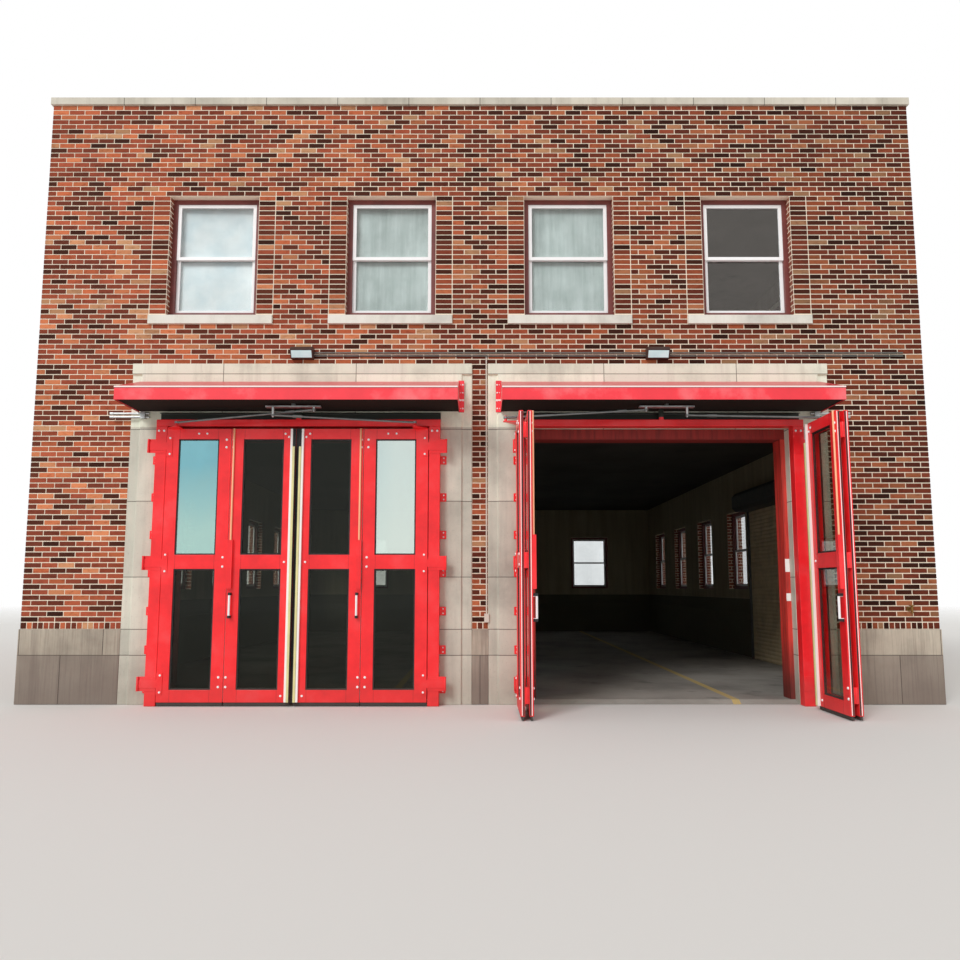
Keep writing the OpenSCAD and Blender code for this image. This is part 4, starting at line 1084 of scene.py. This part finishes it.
def leaf_frame(bay, hand, lead):
    """Frame in which a leaf lies as it does when its bay is shut."""
    turn = math.radians(FOLDS[bay])
    place = pair_frame(bay, hand) @ Matrix.Rotation(-turn, 4, "Z")
    if lead:
        place = (place @ Matrix.Translation((FOLD_X, FOLD_Y, 0)) @ Matrix.Rotation(2 * turn, 4, "Z")
                 @ Matrix.Translation((-FOLD_X, -FOLD_Y, 0)))
    return place


def all_leaves():
    """The frame of each leaf, where the leaf starts in it, and whether it leads."""
    for bay in (-1, 1):
        for hand in (0, 1):
            yield leaf_frame(bay, hand, False), JAMB_X, False
            yield leaf_frame(bay, hand, True), LEAD_X, True


def plate(bm, place, low, high):
    """A flat plate or strip between two corners of a frame."""
    low, high = Vector(low), Vector(high)
    bmesh.ops.create_cube(bm, size=1, matrix=place @ Matrix.Translation((low + high) / 2)
                          @ Matrix.Diagonal((*(high - low), 1)))


def bolt(bm, place, x, face, z, radius=0.017, height=0.010):
    """A bolt head standing out of a face towards -Y."""
    bmesh.ops.create_cone(bm, cap_ends=True, segments=8, radius1=radius, radius2=radius * 0.72,
                          depth=height, matrix=place @ Matrix.Translation((x, face - height / 2, z))
                          @ Matrix.Rotation(math.radians(90), 4, "X"))


def rim(bm, place, low, high, width, back, front):
    """A rectangular rim between two depths, such as a gasket round a pane."""
    (x0, z0), (x1, z1) = low, high
    made = bmesh.ops.create_grid(
        bm, x_segments=1, y_segments=1, size=0.5,
        matrix=Matrix.Translation(((x0 + x1) / 2, back, (z0 + z1) / 2))
        @ Matrix.Rotation(math.radians(90), 4, "X") @ Matrix.Diagonal((x1 - x0, z1 - z0, 1, 1)))
    middle = made["verts"][0].link_faces[0]
    ring = bmesh.ops.inset_individual(bm, faces=[middle], thickness=width, use_even_offset=True)["faces"]
    bmesh.ops.delete(bm, geom=[middle], context="FACES")
    out = bmesh.ops.extrude_face_region(bm, geom=ring)["geom"]
    moved = [v for v in out if isinstance(v, bmesh.types.BMVert)]
    bmesh.ops.translate(bm, verts=moved, vec=(0, front - back, 0))
    every = list({v for f in ring if f.is_valid for v in f.verts} | set(moved))
    bmesh.ops.transform(bm, matrix=place, verts=every)


def close_up(bm):
    """Turns every face outwards."""
    bmesh.ops.recalc_face_normals(bm, faces=bm.faces[:])


# Operators


class StationOperator(bpy.types.Operator):
    """Shared by the operators of this file"""
    bl_options = {"REGISTER", "UNDO"}


class STATION_OT_finishes(StationOperator):
    """Mixes every finish and puts it on the building's fixed pieces"""
    bl_idname = "station.finishes"
    bl_label = "Finishes"

    def execute(self, context):
        FINISHES.update(build_finishes())
        for node, finish_name in NODE_FINISHES.items():
            mesh = NODES[node].data
            mesh.materials.clear()
            mesh.materials.append(FINISHES[finish_name])
        for node, width in NODE_ARRIS.items():
            soften(NODES[node], width)
        return {"FINISHED"}


class STATION_OT_bricks(StationOperator):
    """Lays the bricks of the four walls"""
    bl_idname = "station.bricks"
    bl_label = "Bricks"

    def execute(self, context):
        windows = window_places()
        for seed, side in enumerate(WALLS):
            new_piece(f"bricks_{side}", brick_wall(side, windows[side], seed), ["brick"])
        return {"FINISHED"}


class STATION_OT_stones(StationOperator):
    """Cuts the joints of the limestone base, surrounds and copings"""
    bl_idname = "station.stones"
    bl_label = "Limestone"

    def execute(self, context):
        base = [(2, BASE_JOINT, None)]
        for axis, count in BASE_RUNS:
            base += [(axis, i * BASE_STONE, (0, BASE_JOINT)) for i in range(1 - count, count)]
            base += [(axis, (i + 0.5) * BASE_STONE, (BASE_JOINT, 1)) for i in range(-count, count)]
        self.stones("base_stones", ("base_front", "base_sides", "base_rear"), base, "base", BLOCK_ARRIS)
        levels = [(2, z, None) for z in JAMB_JOINTS]
        self.stones("jamb_stones", ("surround_jambs",), levels, "stone", CUT_ARRIS)
        heads = [(0, side * (BAY_X + step), None) for side in (-1, 1) for step in HEAD_JOINTS]
        heads.append((2, SURROUND_TOP - HEAD_LINE, None))
        self.stones("head_stones", ("surround_heads",), heads, "washed_sunlit_stone", CUT_ARRIS)
        for name, node, axis, stone, count in COPINGS:
            ends = [(axis, i * stone, None) for i in range(-count, count + 1)]
            self.stones(name, (node,), ends, "coping_stone", BLOCK_ARRIS)
        return {"FINISHED"}

    def stones(self, name, nodes, cuts, finish_name, arris):
        """One piece of stones in place of some nodes; a cut is an axis, a place on it and its reach on z."""
        bm = bmesh.new()
        for node in nodes:
            merged_copy(bm, node)
        for axis, place, reach in cuts:
            cut_joint(bm, axis, place, reach)
        stone_tints(bm, cuts, name)
        piece = new_piece(name, bm, [finish_name])
        soften(piece, arris, 60, 1)
        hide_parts(*nodes)


class STATION_OT_doors(StationOperator):
    """Fits the bolts, gaskets, seams and edge strips of the folding leaves"""
    bl_idname = "station.doors"
    bl_label = "Folding doors"

    def execute(self, context):
        parts = {name: bmesh.new() for name in LEAF_PARTS}
        for place, x, lead in all_leaves():
            self.seams(parts["leaf_seam_shadows"], place, x)
            self.gaskets(parts["glass_gaskets"], place, x)
            self.fold_edge(parts, place, x, lead)
            if lead:
                self.leading_edge(parts, place, x + LEAF_W)
            else:
                self.hinge_bolts(parts["leaf_bolts"], place, x)
        self.handle_ends(parts["glass_gaskets"])
        self.panes()
        for name, (finish_name, slot) in LEAF_PARTS.items():
            close_up(parts[name])
            piece = new_piece(name, parts[name], [finish_name])
            if name.endswith("edge_strips"):
                soften(piece, STRIP_ARRIS, 60, 2)
        return {"FINISHED"}

    def seams(self, bm, place, x):
        """Dark hairlines of painted shade on both faces of a leaf, where its rails meet its stiles."""
        rails = ((LEAF_LOW, LIGHTS[0][0]), (LIGHTS[0][1], LIGHTS[1][0]), (LIGHTS[1][1], LEAF_HIGH))
        for low, high in rails:
            for seam in (x + STILE, x + LEAF_W - STILE):
                for near, far in ((FACE - SEAM_OUT, FACE + SEAM_HALF), (BACK - SEAM_HALF, BACK + SEAM_OUT)):
                    plate(bm, place, (seam - SEAM_HALF, near, low), (seam + SEAM_HALF, far, high))

    def gaskets(self, bm, place, x):
        """Rubber round each pane, in front of the glass and behind it."""
        start, end = x + STILE, x + LEAF_W - STILE
        for low, high in LIGHTS:
            for lap, width, back, front in GASKETS:
                rim(bm, place, (start - lap, low - lap), (end + lap, high + lap), width, back, front)

    def fold_edge(self, parts, place, x, lead):
        """Bolts beside the edge that a leaf folds at, and rubber and a pale line along it."""
        start = x - FOLD_STRIP_T if lead else x + LEAF_W
        for z in FOLD_BOLTS:
            bolt(parts["leaf_bolts"], place, x + LEAD_FOLD_IN if lead else x + LEAF_W - JAMB_FOLD_IN, FACE, z)
        for name, near, far in FOLD_STRIPS:
            plate(parts[name], place, (start, FACE + near, LEAF_LOW + FOLD_STRIP_END),
                  (start + FOLD_STRIP_T, FACE + far, LEAF_HIGH - FOLD_STRIP_END))

    def leading_edge(self, parts, place, end):
        """Bolts, white and yellow strips and rubber where the two lead leaves of a bay meet."""
        for dx, z in LEAD_BOLTS:
            bolt(parts["leaf_bolts"], place, end - LEAD_EDGE_IN + dx, FACE, z, LEAD_BOLT_R)
        for name, start, stop, low, high, rise in LEAD_STRIPS:
            plate(parts[name], place, (end - start, FACE - rise, low), (end - stop, FACE, high))

    def hinge_bolts(self, bm, place, x):
        """Bolts of a jamb leaf's top rail and of its strap hinges."""
        for dx in RAIL_BOLTS:
            bolt(bm, place, x + LEAF_W / 2 + dx, FACE, RAIL_BOLT_Z, HINGE_BOLT_R)
        for level in HINGES:
            for dz in HINGE_BOLTS:
                bolt(bm, place, x + HINGE_BOLT_IN, FACE - HINGE_T, level + dz, HINGE_BOLT_R)

    def handle_ends(self, bm):
        """Black caps over both ends of each handle."""
        for low, high in solids("door_handles"):
            for foot in (low.z, high.z - HANDLE_END):
                plate(bm, Matrix.Identity(4), (low.x - HANDLE_CAP, low.y - HANDLE_CAP, foot - HANDLE_CAP),
                      (high.x + HANDLE_CAP, high.y, foot + HANDLE_END + HANDLE_CAP))

    def panes(self):
        """Glass of the leaves, with film painting the sky's reflection on the shut jamb leaves' upper panes,
        clear on the folded ones.
        """
        bm = bmesh.new()
        merged_copy(bm, "door_glass")
        shut = [leaf_frame(-1, hand, False).inverted() for hand in (0, 1)]
        film_low = LIGHTS[1][0] - FILM_LAP
        for face in bm.faces:
            middle = face.calc_center_median()
            if middle.x > 0:
                face.material_index = 2
            for place in shut:
                at = place @ middle
                if JAMB_X < at.x < JAMB_X + LEAF_W and 0 < at.y < 2 * LEAF_T and at.z > film_low:
                    face.material_index = 1
        piece = new_piece("door_panes", bm, ["door_glass", "film_glass_painted_sky", "clear_glass"])
        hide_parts("door_glass")


class STATION_OT_posts(StationOperator):
    """Bolts the posts and their tabs to the stone, and screws the plates to the timber jambs"""
    bl_idname = "station.posts"
    bl_label = "Post bolts"

    def execute(self, context):
        bm = bmesh.new()
        post_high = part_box("door_posts")[1].z
        pitch = (post_high - TAB_DROP - TAB_LOW) / (TABS - 1)
        for bay in (-1, 1):
            for hand in (0, 1):
                place = pair_frame(bay, hand)
                for i in range(TABS):
                    for dz in TAB_BOLTS:
                        bolt(bm, place, TAB_X, POST_Y + POST - TAB_T, TAB_LOW + i * pitch + dz, TAB_BOLT_R)
                for dx in POST_BOLTS:
                    bolt(bm, place, BAY_EDGE - POST / 2 + dx, POST_Y, post_high - POST_BOLT_DROP, POST_BOLT_R)
        close_up(bm)
        new_piece("post_bolts", bm, ["bolt"])
        self.plates()
        return {"FINISHED"}

    def plates(self):
        """White plates on the first and the last timber jamb."""
        jambs = solids("timber_jambs")
        bm = bmesh.new()
        for jamb, foot, top in JAMB_PLATES:
            low, high = jambs[jamb]
            left = low.x + PLATE_IN if jamb == 0 else high.x - PLATE_IN - PLATE_W
            plate(bm, Matrix.Identity(4), (left, low.y - PLATE_T, foot), (left + PLATE_W, low.y, top))
        close_up(bm)
        new_piece("jamb_plates", bm, ["white_strip"])


class STATION_OT_canopies(StationOperator):
    """Bolts the canopies' end flanges to the stone"""
    bl_idname = "station.canopies"
    bl_label = "Canopy bolts"

    def execute(self, context):
        bm = bmesh.new()
        for bay in (-1, 1):
            for i in range(4):
                for x, radius in CANOPY_BOLTS:
                    bolt(bm, bay_frame(bay, bay > 0), x, -STONE_OUT - TAB_T,
                         CANOPY_BOLT_LOW + i * CANOPY_BOLT_PITCH, radius)
        close_up(bm)
        new_piece("canopy_bolts", bm, ["bolt"])
        return {"FINISHED"}


class STATION_OT_stage(StationOperator):
    """Sets the camera, the light and the pale floor"""
    bl_idname = "station.stage"
    bl_label = "Stage"

    def execute(self, context):
        picture = context.scene.station_picture
        camera = new_object("camera", bpy.data.cameras.new("camera"))
        camera.data.lens = picture.lens
        camera.data.shift_y = CAMERA_SHIFT
        camera.data.clip_end = CAMERA_REACH
        camera.location = (0, -FRONT - picture.distance, picture.height)
        camera.rotation_euler = (math.radians(90) + picture.pitch, 0, 0)
        context.scene.camera = camera
        self.light(context, picture)
        self.floor()
        return {"FINISHED"}

    def light(self, context, picture):
        """A soft sun, and daylight from all round that shows as plain white."""
        sun = new_object("sun", bpy.data.lights.new("sun", "SUN"))
        sun.data.energy = picture.sun
        sun.data.angle = math.radians(SUN_ANGLE)
        sun.rotation_euler = Vector(SUN_FROM).to_track_quat("Z", "Y").to_euler()
        world = bpy.data.worlds.new("studio")
        world.use_nodes = True
        context.scene.world = world
        nodes = Nodes(world.node_tree)
        rays = nodes.add("LightPath").outputs
        seen = nodes.maths("MAXIMUM", rays["Is Camera Ray"],
                           nodes.maths("MAXIMUM", rays["Is Glossy Ray"], rays["Is Transmission Ray"]))
        background = world.node_tree.nodes["Background"]
        background.inputs["Color"].default_value = grey(1.0)
        nodes.feed(background.inputs["Strength"], nodes.scaled(seen, 1 - picture.daylight, picture.daylight))
        context.scene.view_settings.view_transform = "Standard"

    def floor(self):
        """A pale floor just under the building that fades out far away."""
        bm = bmesh.new()
        bmesh.ops.create_circle(bm, cap_ends=True, segments=96, radius=FLOOR_RADIUS,
                                matrix=Matrix.Translation((0, 0, -FLOOR_DROP)))
        floor = new_object("studio_floor", new_mesh("studio_floor", bm))
        mix = Finish("pale_floor", 0.9)
        away = mix.add("VectorMath", {"operation": "LENGTH"})
        mix.feed(away.inputs[0], mix.add("TexCoord").outputs["Object"])
        fade = mix.rest(mix.spread(away.outputs["Value"], *FLOOR_FADE))
        mix.set(Base_Color="#E6E4E0", Alpha=fade)
        floor.data.materials.append(mix.material)


class STATION_PT_panel(bpy.types.Panel):
    """Lists the station's steps and settings"""
    bl_idname = "STATION_PT_panel"
    bl_label = "Station"
    bl_space_type = "VIEW_3D"
    bl_region_type = "UI"
    bl_category = "Station"

    def draw(self, context):
        for group in ("station_brickwork", "station_colours", "station_picture"):
            settings_of = getattr(context.scene, group)
            box = self.layout.box()
            for name in settings_of.__annotations__:
                box.prop(settings_of, name)
        for step in STEPS:
            self.layout.operator(step.bl_idname)


STEPS = (STATION_OT_finishes, STATION_OT_bricks, STATION_OT_stones, STATION_OT_doors, STATION_OT_posts,
         STATION_OT_canopies, STATION_OT_stage)
GROUPS = {"station_brickwork": StationBrickwork, "station_colours": StationColours,
          "station_picture": StationPicture}


def register():
    for group in GROUPS.values():
        bpy.utils.register_class(group)
    for name, group in GROUPS.items():
        setattr(bpy.types.Scene, name, PointerProperty(type=group))
    for step in STEPS:
        bpy.utils.register_class(step)
    bpy.utils.register_class(STATION_PT_panel)


def unregister():
    bpy.utils.unregister_class(STATION_PT_panel)
    for step in reversed(STEPS):
        bpy.utils.unregister_class(step)
    for name, group in GROUPS.items():
        delattr(bpy.types.Scene, name)
        bpy.utils.unregister_class(group)


def main():
    register()
    bpy.ops.station.finishes()
    bpy.ops.station.bricks()
    bpy.ops.station.stones()
    bpy.ops.station.doors()
    bpy.ops.station.posts()
    bpy.ops.station.canopies()
    bpy.ops.station.stage()


if __name__ == "__main__":
    main()
